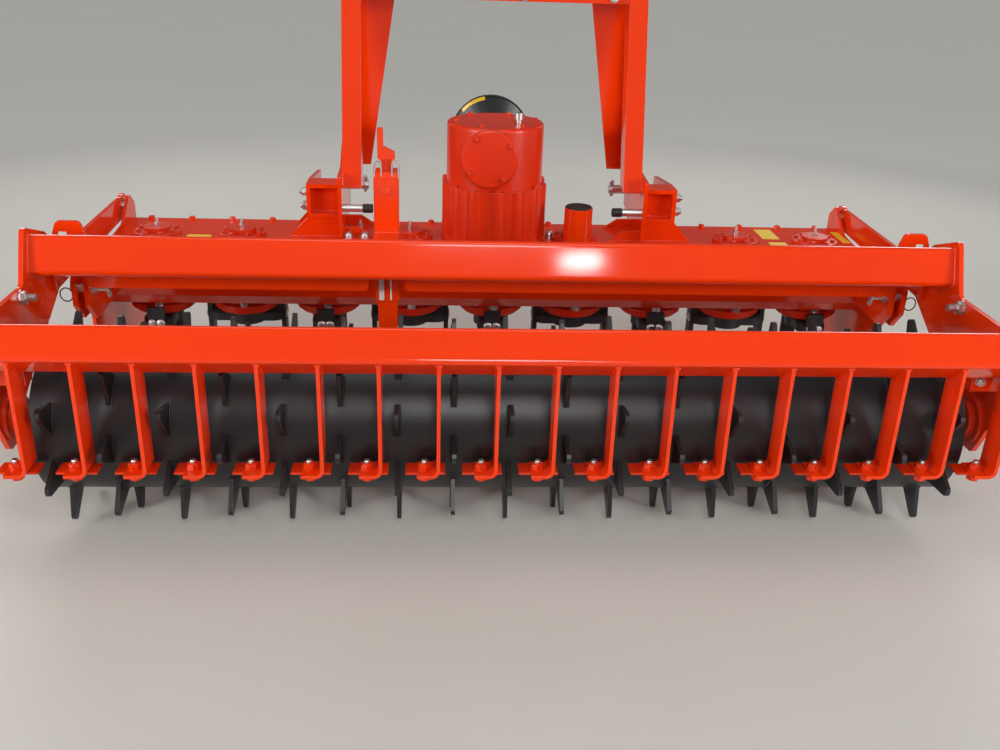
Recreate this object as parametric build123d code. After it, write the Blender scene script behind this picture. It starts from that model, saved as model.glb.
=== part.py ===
from build123d import *
import math
import os

# Power harrow with a toothed packer roller. Sizes are in millimetres, +X to the right seen from behind,
# +Y forward to the tractor, +Z up. Places are measured from the line of the rotors on the floor, and
# the finished pieces are moved so that the origin lies under the middle of the whole machine.

# Rotors and the trough that drives them
ROTOR_COUNT = 9
ROTOR_PITCH = 250.0
END_SPACE = 128.0
TROUGH_TOP = 444.0
TROUGH_BOTTOM = 288.0
TROUGH_HALF_DEPTH = 165.0
TROUGH_CHAMFER = 34.0
LID_THICKNESS = 12.0
LID_LIP = 20.0
CAP_RADIUS = 68.0
CAP_HEIGHT = 14.0
CAP_BOSS_RADIUS = 40.0
CAP_BOSS_HEIGHT = 13.0
HOUSING_NECK_RADIUS = 76.0
HOUSING_FLANGE_RADIUS = 97.0
HOUSING_FLANGE_THICKNESS = 16.0
HOUSING_LIP_RADIUS = 86.0
HOUSING_LIP_THICKNESS = 10.0
HOUSING_NECK_LENGTH = 26.0
SHAFT_RADIUS = 32.0
RUNNING_GAP = 0.06
SHAFT_SEAT = 30.0
MOVING_GAP = 6.0
HUB_RADIUS = 52.0
HOLDER_THICKNESS = 30.0
HOLDER_END_RADIUS = 44.0
HOLDER_REACH = 77.0
HOLDER_CHAMFER = 7.0
TINE_GAP = 7.0
TINE_THICKNESS = 14.0
TINE_HEAD = 34.0
TINE_TOP_WIDTH = 52.0
TINE_WIDTH = 46.0
TINE_TIP_WIDTH = 20.0
TINE_TIP_LENGTH = 70.0

# End plates of the trough, and the pins that the roller arms hang on
END_PLATE_THICKNESS = 10.0
END_PLATE_LOW = 70.0
END_PLATE_REAR = 250.0
END_PLATE_FRONT = 235.0
END_PLATE_CORNER = 60.0
PIVOT_Y = 190.0
PIVOT_RISE = 36.0
PIVOT_RADIUS = 16.0
PIVOT_EYE_RADIUS = 38.0
SECTOR_REAR = 425.0
SECTOR_THICKNESS = 12.0
SECTOR_SETBACK = 8.0
SECTOR_SPACING = 32.0
SECTOR_ROOT = 104.0
SECTOR_TIP = 62.0
SECTOR_CUT = 46.0
SECTOR_LOW = 112.0
SECTOR_HOLES = 4
SECTOR_HOLE_STEP = 42.0
SECTOR_HOLE_INSET = 30.0
DEPTH_PIN_DROP = 22.0
DEPTH_PIN_STICK = 10.0
DEPTH_PIN_RADIUS = 10.0

# Gearbox
GEARBOX_RADIUS = 141.0
GEARBOX_HEIGHT = 176.0
GEARBOX_EDGE = 10.0
BASE_HEIGHT = 180.0
BASE_RADIUS = 157.0
BASE_RIBS = 14
BASE_RIB_RADIUS = 28.0
BASE_RIB_STEP = 8.0
BASE_FLANGE = 22.0
COVER_X = -22.0
COVER_RADIUS = 81.0
COVER_THICKNESS = 12.0
COVER_RISE = 94.0
PTO_RISE = 80.0
PTO_RADIUS = 17.45
PTO_SEAT_RADIUS = 26.0
PTO_SEAT_DEPTH = 60.0
PTO_HUB_RADIUS = 62.0
PTO_NOSE_END = 186.0
PTO_END = 268.0
GUARD_RADIUS_BACK = 86.0
GUARD_RADIUS_MOUTH = 123.0
GUARD_WALL = 5.0
GUARD_MOUTH = 300.0
FILLER_X = 243.0
FILLER_Y = -112.0
FILLER_RADIUS = 41.0
FILLER_HEIGHT = 132.0
FILLER_RIM = 4.0
FILLER_CAP_HEIGHT = 8.0
BREATHER_X = 64.0
BREATHER_Y = -40.0
BREATHER_RADIUS = 13.0
BREATHER_HEIGHT = 30.0

# Hitch: link boxes, tower legs and the top link ears
LINK_INNER = 450.0
LINK_OUTER = 556.0
LINK_PLATE = 12.0
LINK_REAR = 0.0
LINK_FRONT = 300.0
LINK_TUNNEL_END = 210.0
LINK_FLOOR_RISE = 57.0
LINK_OPENING = 79.0
LINK_CHEEK_RISE = 130.0
LINK_SLOPE_START = 84.0
LINK_SLOPE_RISE = 34.0
LINK_ROOF_END = 80.0
LINK_NOSE_DROP = 24.0
LINK_BACK_INSET = 38.0
LINK_FOOT_INNER = 90.0
LINK_FOOT_OUTER = 54.0
LINK_FOOT_HEIGHT = 30.0
LINK_FOOT_PLACES = (6.0, 140.0)
LINK_PIN_Y = 255.0
LINK_PIN_RISE = 31.0
LINK_PIN_RADIUS = 14.0
LINK_PIN_SHANK = 17.0
LINK_PIN_REACH = 62.0
LINK_PIN_HEAD = 24.0
STAY_WIDTH = 56.0
STAY_DEPTH = 70.0
STAY_WALL = 8.0
STAY_FOOT_Y = 14.0
STAY_FOOT_DROP = 13.0
STAY_FOOT_SLANT = 14.0
STAY_HEAD_Y = 176.0
TOWER_TOP = 1190.0
FRONT_LEG_Y = 292.0
FRONT_LEG_FOOT_WIDTH = 68.0
FRONT_LEG_HEAD_WIDTH = 160.0
FRONT_LEG_WALL = 8.0
FRONT_LEG_FLANGE = 36.0
CROSSBAR_HEIGHT = 62.0
CROSSBAR_SETBACK = 8.0
EAR_GAP = 70.0
EAR_THICKNESS = 12.0
EAR_BORE_RADIUS = 12.9
EAR_BORE_REACH = 62.0
EAR_BORE_RISE = 46.0
EAR_EYE_RADIUS = 44.0

# Roller frame
ARM_GAP = 10.0
ARM_THICKNESS = 12.0
ARM_HEIGHT = 64.0
ARM_DROP = 34.0
ARM_REAR_REACH = 72.0
ARM_REAR_HEIGHT = 84.0
SIDE_THICKNESS = 12.0
SIDE_FRONT_REACH = 180.0
SIDE_RIM = 14.0
SIDE_WAIST_DROP = 48.0
SIDE_CORNER = 16.0
SADDLE_LENGTH = 112.0
SADDLE_AHEAD = 36.0
SADDLE_DEPTH = 38.0
SADDLE_HEIGHT = 94.0
UPPER_BEAM_Y = -520.0
UPPER_BEAM_Z = 549.0
UPPER_BEAM_SIZE = 100.0
UPPER_BEAM_TILT = 20.0
UPPER_BEAM_CORNER = 14.0
REAR_BEAM_Y = -990.0
REAR_BEAM_Z = 497.0
REAR_BEAM_SIZE = 82.0
REAR_BEAM_TILT = 41.0
REAR_BEAM_CORNER = 10.0
BEAM_WALL = 6.0
STRIP_HEIGHT = 32.0
STRIP_THICKNESS = 6.0
STRIP_DROP = 63.0
STRIP_AHEAD = 42.0
STRIP_SETBACK = 74.0
STRIP_GAP = 46.5
STRIP_CORNER = 12.0
HANGER_WIDTH = 40.0
HANGER_INSET = 70.0
LUG_SETBACK = 38.0
LUG_WIDTH = 92.0
LUG_TOP_WIDTH = 58.0
LUG_RISE = 74.0
LUG_CORNER = 14.0
LUG_HOLE_WIDTH = 24.0
LUG_HOLE_HEIGHT = 18.0
LUG_HOLE_SHIFT = 16.0
LUG_HOLE_DROP = 36.0
LUG_AHEAD = 52.0
LUG_THICKNESS = 10.0

# Packer roller and its scrapers
ROLLER_Y = -790.0
DRUM_RADIUS = 170.0
DRUM_SIDE_GAP = 102.0
DRUM_WALL = 9.0
DRUM_END_RECESS = 14.0
TOOTH_TIP_RADIUS = 245.0
RING_COUNT = 17
RING_END_SPACE = 46.0
RING_TEETH = 8
TOOTH_THICKNESS = 10.0
TOOTH_ROOT = 74.0
TOOTH_TIP = 20.0
TOOTH_CHAMFER = 5.0
TOOTH_LEAN = 12.0
TOOTH_SINK = 2.0
AXLE_RADIUS = 25.0
BEARING_RADIUS = 62.0
BEARING_THICKNESS = 26.0
SCRAPER_COUNT = RING_COUNT + 1
SCRAPER_THICKNESS = 8.0
SCRAPER_DEPTH = 66.0
SCRAPER_OFFSET = 29.0
SCRAPER_BEND = 20.0
SCRAPER_FOOT = 18.0
SCRAPER_ARM_GAP = 10.0
SCRAPER_BLADE_WIDTH = 88.0
SCRAPER_BLADE_DEPTH = 46.0
SCRAPER_BLADE_THICKNESS = 5.0
SCRAPER_Z = 206.0
SCRAPER_GAP = 6.0

# Levelling board and its upright adjuster
ADJUSTER_X = -297.0
ADJUSTER_AHEAD = 108.0
ADJUSTER_SIZE = 64.0
ADJUSTER_CORNER = 6.0
ADJUSTER_WALL = 6.0
ADJUSTER_BELOW = 138.0
ADJUSTER_ABOVE = 193.0
ADJUSTER_CAP = 12.0
ADJUSTER_CAP_TAPER = 25.0
BRACKET_LAP = 20.0
STEM_CLEARANCE = 0.4
STEM_LENGTH = 418.0
BOARD_LOW = 76.0
BOARD_HIGH = 222.0
BOARD_THICKNESS = 8.0
BOARD_FLANGE_REAR = 20.0
BOARD_FLANGE_FRONT = 34.0
BOARD_END_GAP = 74.0
SPINDLE_RADIUS = 12.0
SPINDLE_LENGTH = 28.0
CRANK_EYE_WIDTH = 44.0
CRANK_EYE_HEIGHT = 32.0
CRANK_BAR_WIDTH = 15.0
CRANK_BAR_HEIGHT = 60.0
CRANK_THICKNESS = 12.0

# Places that follow from the sizes above
rotor_places = [(i - (ROTOR_COUNT - 1) / 2) * ROTOR_PITCH for i in range(ROTOR_COUNT)]
trough_half = rotor_places[-1] + END_SPACE
lid_top = TROUGH_TOP + LID_THICKNESS
lid_half_depth = TROUGH_HALF_DEPTH + LID_LIP
pivot_z = lid_top + PIVOT_RISE
gearbox_waist = lid_top + BASE_HEIGHT
gearbox_top = gearbox_waist + GEARBOX_HEIGHT
cover_z = gearbox_waist + COVER_RISE
pto_z = gearbox_waist + PTO_RISE
filler_top = lid_top + FILLER_HEIGHT
link_low = lid_top + LINK_FLOOR_RISE
link_high = link_low + LINK_OPENING + 2 * LINK_PLATE
link_pin_z = link_low + LINK_PLATE + LINK_PIN_RISE
stay_foot_z = link_high - STAY_FOOT_DROP
crossbar_rear = STAY_HEAD_Y + CROSSBAR_SETBACK
crossbar_front = FRONT_LEG_Y - FRONT_LEG_WALL
ear_bore_y = crossbar_front + EAR_BORE_REACH
ear_bore_z = TOWER_TOP + EAR_BORE_RISE
flange_top = TROUGH_BOTTOM - HOUSING_NECK_LENGTH
flange_low = flange_top - HOUSING_FLANGE_THICKNESS
housing_low = flange_low - HOUSING_LIP_THICKNESS
holder_top = housing_low - MOVING_GAP
tine_top = holder_top + TINE_HEAD
tine_inner = HOUSING_FLANGE_RADIUS + TINE_GAP
end_outer = trough_half + END_PLATE_THICKNESS
arm_inner = end_outer + ARM_GAP
side_inner = arm_inner + ARM_THICKNESS
side_outer = side_inner + SIDE_THICKNESS
sector_outer = trough_half - SECTOR_SETBACK
drum_half = side_inner - DRUM_SIDE_GAP
ring_pitch = 2 * (drum_half - RING_END_SPACE) / (RING_COUNT - 1)
ring_places = [(i - (RING_COUNT - 1) / 2) * ring_pitch for i in range(RING_COUNT)]
scraper_places = [(i - (SCRAPER_COUNT - 1) / 2) * ring_pitch for i in range(SCRAPER_COUNT)]
strip_rear = UPPER_BEAM_Y + STRIP_AHEAD
strip_top = UPPER_BEAM_Z - STRIP_DROP
strip_half = trough_half - STRIP_SETBACK
adjuster_y = UPPER_BEAM_Y + ADJUSTER_AHEAD
adjuster_low = UPPER_BEAM_Z - ADJUSTER_BELOW
adjuster_high = UPPER_BEAM_Z + ADJUSTER_ABOVE
board_half = trough_half - BOARD_END_GAP
blade_front = ROLLER_Y - math.sqrt(DRUM_RADIUS**2 - (TOOTH_TIP_RADIUS - SCRAPER_Z) ** 2) - SCRAPER_GAP


def block(x, y, z):
    """A rectangular block between two limits along each axis."""
    size = (x[1] - x[0], y[1] - y[0], z[1] - z[0])
    middle = ((x[0] + x[1]) / 2, (y[0] + y[1]) / 2, (z[0] + z[1]) / 2)
    return Pos(*middle) * Box(*size)


def outline(points, radius=0.0):
    """A closed flat outline, with its corners rounded where a radius is given."""
    face = make_face(Polyline(*points, close=True))
    return fillet(face.vertices(), radius) if radius else face


def offset_bar(path, thickness, bend):
    """The section of a flat bar bent once, to the left of the path's two straight runs."""
    (x0, z0), (x1, z1), (x2, z2) = path
    outside = Polyline((x0, z0), (x1 - bend, z0)) + RadiusArc((x1 - bend, z0), (x1, z1 + bend), -bend)
    outside += Line((x1, z1 + bend), (x2, z2))
    inner = bend - thickness
    inside = Line((x2 - thickness, z2), (x1 - thickness, z1 + bend))
    inside += RadiusArc((x1 - thickness, z1 + bend), (x1 - bend, z0 + thickness), inner)
    inside += Line((x1 - bend, z0 + thickness), (x0, z0 + thickness))
    ends = Line((x2, z2), (x2 - thickness, z2)) + Line((x0, z0 + thickness), (x0, z0))
    return make_face((outside + inside + ends).edges())


def upright(face, x):
    """Stands a flat outline of (y, z) points between two limits along X."""
    return extrude(Plane.YZ.offset(x[0]) * face, amount=x[1] - x[0])


def crosswise(face, y):
    """Stands a flat outline of (x, z) points between two limits along Y."""
    plane = Plane(origin=(0, y[1], 0), x_dir=(1, 0, 0), z_dir=(0, -1, 0))
    return extrude(plane * face, amount=y[1] - y[0])


def level(face, z):
    """Lays a flat outline of (x, y) points between two heights."""
    return extrude(Plane.XY.offset(z[0]) * face, amount=z[1] - z[0])


def disc(place, radius, z):
    return level(Pos(*place) * Circle(radius), z)


def rod_x(place, radius, x):
    return upright(Pos(*place) * Circle(radius), x)


def rod_y(place, radius, y):
    return crosswise(Pos(*place) * Circle(radius), y)


def mirrored(shape):
    """The same piece on the other side of the machine."""
    return mirror(shape, about=Plane.YZ)


def both_sides(shape):
    """The piece on the right and its twin on the left, as one node."""
    return Compound(children=[shape, mirrored(shape)])


def square_tube(place, size, tilt, corner, x, wall=0.0):
    """A square tube along X, its rear face tilted up by an angle."""
    section = Rectangle(size, size)
    section = fillet(section.vertices(), corner)
    if wall:
        hollow = Rectangle(size - 2 * wall, size - 2 * wall)
        section = section - hollow
    return upright(Pos(*place) * Rot(0, 0, -tilt) * section, x)


def make_trough():
    low, high, depth = TROUGH_BOTTOM, TROUGH_TOP, TROUGH_HALF_DEPTH
    section = [
        (-depth + TROUGH_CHAMFER, low),
        (depth - TROUGH_CHAMFER, low),
        (depth, low + TROUGH_CHAMFER),
        (depth, high),
        (-depth, high),
        (-depth, low + TROUGH_CHAMFER),
    ]
    return upright(outline(section), (-trough_half, trough_half))


def make_lid():
    face = Rectangle(2 * trough_half, 2 * lid_half_depth)
    return level(face, (TROUGH_TOP, lid_top))


def make_caps():
    """Bearing caps on the lid over the rotors that no link box and no gearbox stands on."""
    caps = []
    for place in rotor_places:
        under_gearbox = abs(place) < BASE_RADIUS + CAP_RADIUS
        under_link_box = LINK_INNER - CAP_RADIUS < abs(place) < LINK_OUTER + CAP_RADIUS
        if under_gearbox or under_link_box:
            continue
        cap = disc((place, 0), CAP_RADIUS, (lid_top, lid_top + CAP_HEIGHT))
        boss_top = lid_top + CAP_HEIGHT + CAP_BOSS_HEIGHT
        cap += disc((place, 0), CAP_BOSS_RADIUS, (lid_top + CAP_HEIGHT, boss_top))
        caps.append(cap)
    return Compound(children=caps)


def make_housings():
    """Bearing housings under the trough, each a neck, a bolted flange and a seal lip round the shaft."""
    housings = []
    for place in rotor_places:
        housing = disc((place, 0), HOUSING_NECK_RADIUS, (flange_top, TROUGH_BOTTOM))
        housing += disc((place, 0), HOUSING_FLANGE_RADIUS, (flange_low, flange_top))
        housing += disc((place, 0), HOUSING_LIP_RADIUS, (housing_low, flange_low))
        shaft_hole = (housing_low, housing_low + SHAFT_SEAT + 1)
        housing -= disc((place, 0), SHAFT_RADIUS + RUNNING_GAP, shaft_hole)
        housings.append(housing)
    return Compound(children=housings)


def make_rotor(place, turn):
    """A tine holder on its shaft, with two upright blade tines outside the bearing flange."""
    holder = make_hull(
        (Sketch() + [Pos(s * HOLDER_REACH, 0) * Circle(HOLDER_END_RADIUS) for s in (-1, 1)]).edges()
    )
    rotor = level(holder, (holder_top - HOLDER_THICKNESS, holder_top))
    rotor = chamfer(rotor.faces().sort_by(Axis.Z)[-1].edges(), HOLDER_CHAMFER)
    rotor += disc((0, 0), HUB_RADIUS, (holder_top - HOLDER_THICKNESS - 10, holder_top))
    rotor += disc((0, 0), SHAFT_RADIUS, (holder_top, housing_low + SHAFT_SEAT))
    half, tip = TINE_WIDTH / 2, TINE_TIP_WIDTH / 2
    blade = [
        (-TINE_TOP_WIDTH / 2, tine_top),
        (-half, holder_top - HOLDER_THICKNESS),
        (-half, TINE_TIP_LENGTH),
        (-half + 4, 0),
        (-half + 4 + 2 * tip, 0),
        (half, TINE_TIP_LENGTH),
        (half, holder_top - HOLDER_THICKNESS),
        (TINE_TOP_WIDTH / 2, tine_top),
    ]
    tine = upright(outline(blade), (tine_inner, tine_inner + TINE_THICKNESS))
    for half_turn in (0, 180):
        rotor += Rot(0, 0, half_turn) * tine
    return Pos(place, 0, 0) * Rot(0, 0, turn) * rotor


def make_end_plate():
    """A side wall of the trough that runs down beside the last rotor and up to the arm's pivot."""
    cut = END_PLATE_CORNER
    points = [
        (-END_PLATE_REAR, lid_top - cut / 2),
        (-END_PLATE_REAR, END_PLATE_LOW + cut),
        (-END_PLATE_REAR + cut, END_PLATE_LOW),
        (END_PLATE_FRONT - cut, END_PLATE_LOW),
        (END_PLATE_FRONT, END_PLATE_LOW + cut),
        (END_PLATE_FRONT, pivot_z),
        (PIVOT_Y, pivot_z + PIVOT_EYE_RADIUS),
        (PIVOT_Y - 1.5 * cut, lid_top),
    ]
    return upright(outline(points, 14), (trough_half, end_outer))


def make_pivot():
    """The bolt that a roller arm hangs on, with its head outside the arm."""
    pin = rod_x((PIVOT_Y, pivot_z), PIVOT_RADIUS, (end_outer, side_inner + 8))
    pin += rod_x((PIVOT_Y, pivot_z), PIVOT_RADIUS * 1.5, (side_inner + 0.5, side_inner + 12))
    return pin


def make_sector():
    """Two plates behind each end of the trough, with a row of holes for the depth pin."""
    points = [
        (-TROUGH_HALF_DEPTH, TROUGH_TOP - SECTOR_ROOT),
        (-TROUGH_HALF_DEPTH, TROUGH_TOP - 10),
        (-SECTOR_REAR + 10, TROUGH_TOP + 18),
        (-SECTOR_REAR, TROUGH_TOP + 4),
        (-SECTOR_REAR, TROUGH_TOP - SECTOR_TIP),
        (-SECTOR_REAR + SECTOR_CUT, TROUGH_TOP - SECTOR_LOW),
    ]
    x = (sector_outer - SECTOR_THICKNESS, sector_outer)
    plate = upright(outline(points), x)
    for step in range(SECTOR_HOLES):
        hole = (-SECTOR_REAR + SECTOR_HOLE_INSET + SECTOR_HOLE_STEP * step, TROUGH_TOP - DEPTH_PIN_DROP)
        plate -= rod_x(hole, DEPTH_PIN_RADIUS + RUNNING_GAP, x)
    return Compound(children=[plate, Pos(-SECTOR_SPACING, 0, 0) * plate])


def make_depth_pin():
    """The pin through the rearmost holes of both plates, with a head inside."""
    place = (-SECTOR_REAR + SECTOR_HOLE_INSET, TROUGH_TOP - DEPTH_PIN_DROP)
    start = sector_outer - SECTOR_SPACING - SECTOR_THICKNESS
    pin = rod_x(place, DEPTH_PIN_RADIUS, (start, sector_outer + DEPTH_PIN_STICK))
    pin += rod_x(place, DEPTH_PIN_RADIUS * 1.5, (start - DEPTH_PIN_STICK, start))
    return pin


def make_gearbox_base():
    """The lower casting on the trough: a round body with broad upright ribs that nearly meet."""
    base = disc((0, 0), BASE_RADIUS - BASE_RIB_STEP, (lid_top, gearbox_waist))
    base += disc((0, 0), BASE_RADIUS, (lid_top, lid_top + BASE_FLANGE))
    reach = BASE_RADIUS - BASE_RIB_RADIUS
    for i in range(BASE_RIBS):
        angle = math.radians(360 / BASE_RIBS * (i + 0.5))
        place = (math.cos(angle) * reach, math.sin(angle) * reach)
        base += disc(place, BASE_RIB_RADIUS, (lid_top, gearbox_waist))
    return base


def make_gearbox_drum():
    drum = disc((0, 0), GEARBOX_RADIUS, (gearbox_waist, gearbox_top))
    drum = fillet(drum.faces().sort_by(Axis.Z)[-1].edges(), GEARBOX_EDGE)
    nose = rod_y((0, pto_z), PTO_HUB_RADIUS, (0, PTO_NOSE_END))
    rear = rod_y((COVER_X, cover_z), COVER_RADIUS - 6, (-GEARBOX_RADIUS - 4, 0))
    drum += nose + rear
    seat = (PTO_NOSE_END - PTO_SEAT_DEPTH, PTO_NOSE_END)
    drum -= rod_y((0, pto_z), PTO_SEAT_RADIUS + RUNNING_GAP, seat)
    return drum


def make_gearbox_cover():
    """The round bearing cover on the rear face of the gearbox, with a bevelled edge."""
    y_near = -GEARBOX_RADIUS - 4
    cover = rod_y((COVER_X, cover_z), COVER_RADIUS, (y_near - COVER_THICKNESS, y_near))
    return chamfer(cover.faces().sort_by(Axis.Y)[0].edges(), COVER_THICKNESS / 3)


def make_pto_shaft():
    """The input shaft: a thick journal in the nose of the gearbox and a thinner free end."""
    shaft = rod_y((0, pto_z), PTO_RADIUS, (PTO_NOSE_END, PTO_END))
    shaft += rod_y((0, pto_z), PTO_SEAT_RADIUS, (PTO_NOSE_END - PTO_SEAT_DEPTH + 1, PTO_NOSE_END))
    return shaft


def make_pto_guard():
    """An open bell round the input shaft, seated on the gearbox nose."""
    back, mouth = GUARD_RADIUS_BACK, GUARD_RADIUS_MOUTH
    start = PTO_NOSE_END - 24
    profile = [
        (PTO_HUB_RADIUS, start),
        (back, start),
        (mouth, GUARD_MOUTH),
        (mouth - GUARD_WALL, GUARD_MOUTH),
        (back - GUARD_WALL, start + GUARD_WALL),
        (PTO_HUB_RADIUS, start + GUARD_WALL),
    ]
    face = make_face(Polyline(*profile, close=True))
    bell = revolve(Plane.XY * face, Axis.Y)
    return Pos(0, 0, pto_z) * bell


def make_filler():
    """The upright oil filler, with a rim round the seat of its cap."""
    place = (FILLER_X, FILLER_Y)
    neck = disc(place, FILLER_RADIUS, (lid_top, filler_top))
    return neck - disc(place, FILLER_RADIUS - FILLER_RIM, (filler_top - FILLER_RIM, filler_top))


def make_filler_cap():
    place = (FILLER_X, FILLER_Y)
    seat = filler_top - FILLER_RIM
    return disc(place, FILLER_RADIUS - FILLER_RIM - RUNNING_GAP, (seat, seat + FILLER_CAP_HEIGHT))


def make_breather():
    place = (BREATHER_X, BREATHER_Y)
    stem = disc(place, BREATHER_RADIUS * 0.6, (gearbox_top, gearbox_top + BREATHER_HEIGHT))
    cap = (gearbox_top + BREATHER_HEIGHT * 0.4, gearbox_top + BREATHER_HEIGHT)
    return stem + disc(place, BREATHER_RADIUS, cap)


def make_link_box():
    """The lower link box: two cheeks, a floor, a short roof and a closing plate set in from the rear."""
    inner = (LINK_INNER, LINK_INNER + LINK_PLATE)
    outer = (LINK_OUTER - LINK_PLATE, LINK_OUTER)
    cheek = [
        (LINK_REAR - 24, lid_top),
        (lid_half_depth, lid_top),
        (LINK_FRONT, link_low - LINK_PLATE),
        (LINK_FRONT, link_high + LINK_CHEEK_RISE),
        (LINK_TUNNEL_END, link_high + LINK_CHEEK_RISE),
        (LINK_REAR + LINK_SLOPE_START, link_high + LINK_SLOPE_RISE),
        (LINK_REAR - 24, link_high + 26),
    ]
    box = upright(outline(cheek, 8), inner)
    short_cheek = [
        (LINK_REAR, link_low),
        (lid_half_depth, link_low - 2 * LINK_PLATE),
        (LINK_FRONT, link_low - LINK_PLATE),
        (LINK_FRONT, link_high - LINK_NOSE_DROP),
        (LINK_REAR + LINK_ROOF_END, link_high),
        (LINK_REAR, link_high),
    ]
    box += upright(outline(short_cheek), outer)
    between = (inner[1], outer[0])
    box += block(between, (LINK_REAR, LINK_TUNNEL_END), (link_low, link_low + LINK_PLATE))
    box += block(between, (LINK_REAR, LINK_REAR + LINK_ROOF_END), (link_high - LINK_PLATE, link_high))
    back = LINK_REAR + LINK_BACK_INSET
    box += block(between, (back, back + LINK_PLATE), (link_low, link_high))
    foot = [
        (LINK_INNER - LINK_FOOT_INNER, lid_top),
        (LINK_OUTER + LINK_FOOT_OUTER, lid_top),
        (LINK_OUTER, link_low),
        (LINK_INNER + LINK_PLATE, link_low),
        (LINK_INNER + LINK_PLATE, lid_top + LINK_FOOT_HEIGHT),
        (LINK_INNER - LINK_FOOT_INNER / 2, lid_top + LINK_FOOT_HEIGHT),
    ]
    for place in LINK_FOOT_PLACES:
        box += crosswise(outline(foot), (LINK_REAR + place, LINK_REAR + place + LINK_PLATE))
    box -= rod_x((LINK_PIN_Y, link_pin_z), LINK_PIN_SHANK, (LINK_INNER, LINK_OUTER))
    return box


def make_link_pin():
    """The lower link pin: a thick shank through both cheeks, a thinner free end inside, a head outside."""
    place = (LINK_PIN_Y, link_pin_z)
    pin = rod_x(place, LINK_PIN_RADIUS, (LINK_INNER - LINK_PIN_REACH, LINK_INNER))
    pin += rod_x(place, LINK_PIN_SHANK, (LINK_INNER, LINK_OUTER))
    pin += rod_x(place, LINK_PIN_HEAD, (LINK_OUTER, LINK_OUTER + 10))
    return pin


def make_stay():
    """A rear leg of the tower: a folded channel, open to the front, leaning forward to its head."""
    outer = (LINK_INNER - STAY_WIDTH, LINK_INNER)
    foot_y, head_y = STAY_FOOT_Y, STAY_HEAD_Y
    section = [
        (foot_y, stay_foot_z),
        (foot_y + STAY_DEPTH, stay_foot_z + STAY_FOOT_SLANT),
        (head_y + STAY_DEPTH, TOWER_TOP),
        (head_y, TOWER_TOP),
    ]
    hollow = [
        (foot_y + STAY_WALL, stay_foot_z - 20),
        (foot_y + STAY_DEPTH + 9, stay_foot_z - 20),
        (head_y + STAY_DEPTH + 9, TOWER_TOP + 20),
        (head_y + STAY_WALL, TOWER_TOP + 20),
    ]
    stay = upright(outline(section), outer)
    stay -= upright(outline(hollow), (outer[0] + STAY_WALL, outer[1] - STAY_WALL))
    return stay


def make_front_leg():
    """A front leg of the tower: a folded plate that widens to the top, with a flange on its outer edge."""
    outer_edge = LINK_INNER
    web = [
        (outer_edge - FRONT_LEG_FOOT_WIDTH, link_high),
        (outer_edge, link_high),
        (outer_edge, TOWER_TOP),
        (outer_edge - FRONT_LEG_HEAD_WIDTH, TOWER_TOP),
    ]
    y_rear = FRONT_LEG_Y - FRONT_LEG_WALL
    leg = crosswise(outline(web), (y_rear, FRONT_LEG_Y))
    flange = (outer_edge - FRONT_LEG_WALL, outer_edge)
    leg += block(flange, (y_rear - FRONT_LEG_FLANGE, y_rear), (link_high, TOWER_TOP))
    return leg


def make_crossbar():
    """The head of the tower, a box across between the legs."""
    inner = LINK_INNER - STAY_WIDTH
    return block((-inner, inner), (crossbar_rear, crossbar_front), (TOWER_TOP - CROSSBAR_HEIGHT, TOWER_TOP))


def make_ears():
    """Two ears on the crossbar, bored for the top link pin."""
    bore = Pos(ear_bore_y, ear_bore_z)
    low = TOWER_TOP - CROSSBAR_HEIGHT
    web = [
        (crossbar_front, low),
        (ear_bore_y + 20, ear_bore_z - 30),
        (ear_bore_y, ear_bore_z),
        (crossbar_front, TOWER_TOP),
    ]
    ear = outline(web) + bore * Circle(EAR_EYE_RADIUS) - bore * Circle(EAR_BORE_RADIUS)
    return both_sides(upright(ear, (EAR_GAP / 2, EAR_GAP / 2 + EAR_THICKNESS)))


def make_upper_beam():
    place = (UPPER_BEAM_Y, UPPER_BEAM_Z)
    return square_tube(
        place, UPPER_BEAM_SIZE, UPPER_BEAM_TILT, UPPER_BEAM_CORNER, (-side_inner, side_inner), BEAM_WALL
    )


def make_rear_beam():
    place = (REAR_BEAM_Y, REAR_BEAM_Z)
    return square_tube(
        place, REAR_BEAM_SIZE, REAR_BEAM_TILT, REAR_BEAM_CORNER, (-side_inner, side_inner), BEAM_WALL
    )


def beam_room(place, size, tilt, corner):
    """The outside of a beam as a full bar, used to cut what is welded against it."""
    return square_tube(place, size, tilt, corner, (-side_outer, side_outer))


def beam_corners(y, z, half, tilt):
    """The corners of a tilted square round a beam, as (y, z) places."""
    angle = math.radians(tilt)
    corners = {}
    for name, dy, dz in (
        ("top_front", half, half),
        ("top_rear", -half, half),
        ("low_rear", -half, -half),
        ("low_front", half, -half),
    ):
        across = dy * math.cos(angle) + dz * math.sin(angle)
        along = dz * math.cos(angle) - dy * math.sin(angle)
        corners[name] = (y + across, z + along)
    return corners


upper_room = beam_room((UPPER_BEAM_Y, UPPER_BEAM_Z), UPPER_BEAM_SIZE, UPPER_BEAM_TILT, UPPER_BEAM_CORNER)
rear_room = beam_room((REAR_BEAM_Y, REAR_BEAM_Z), REAR_BEAM_SIZE, REAR_BEAM_TILT, REAR_BEAM_CORNER)


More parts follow.
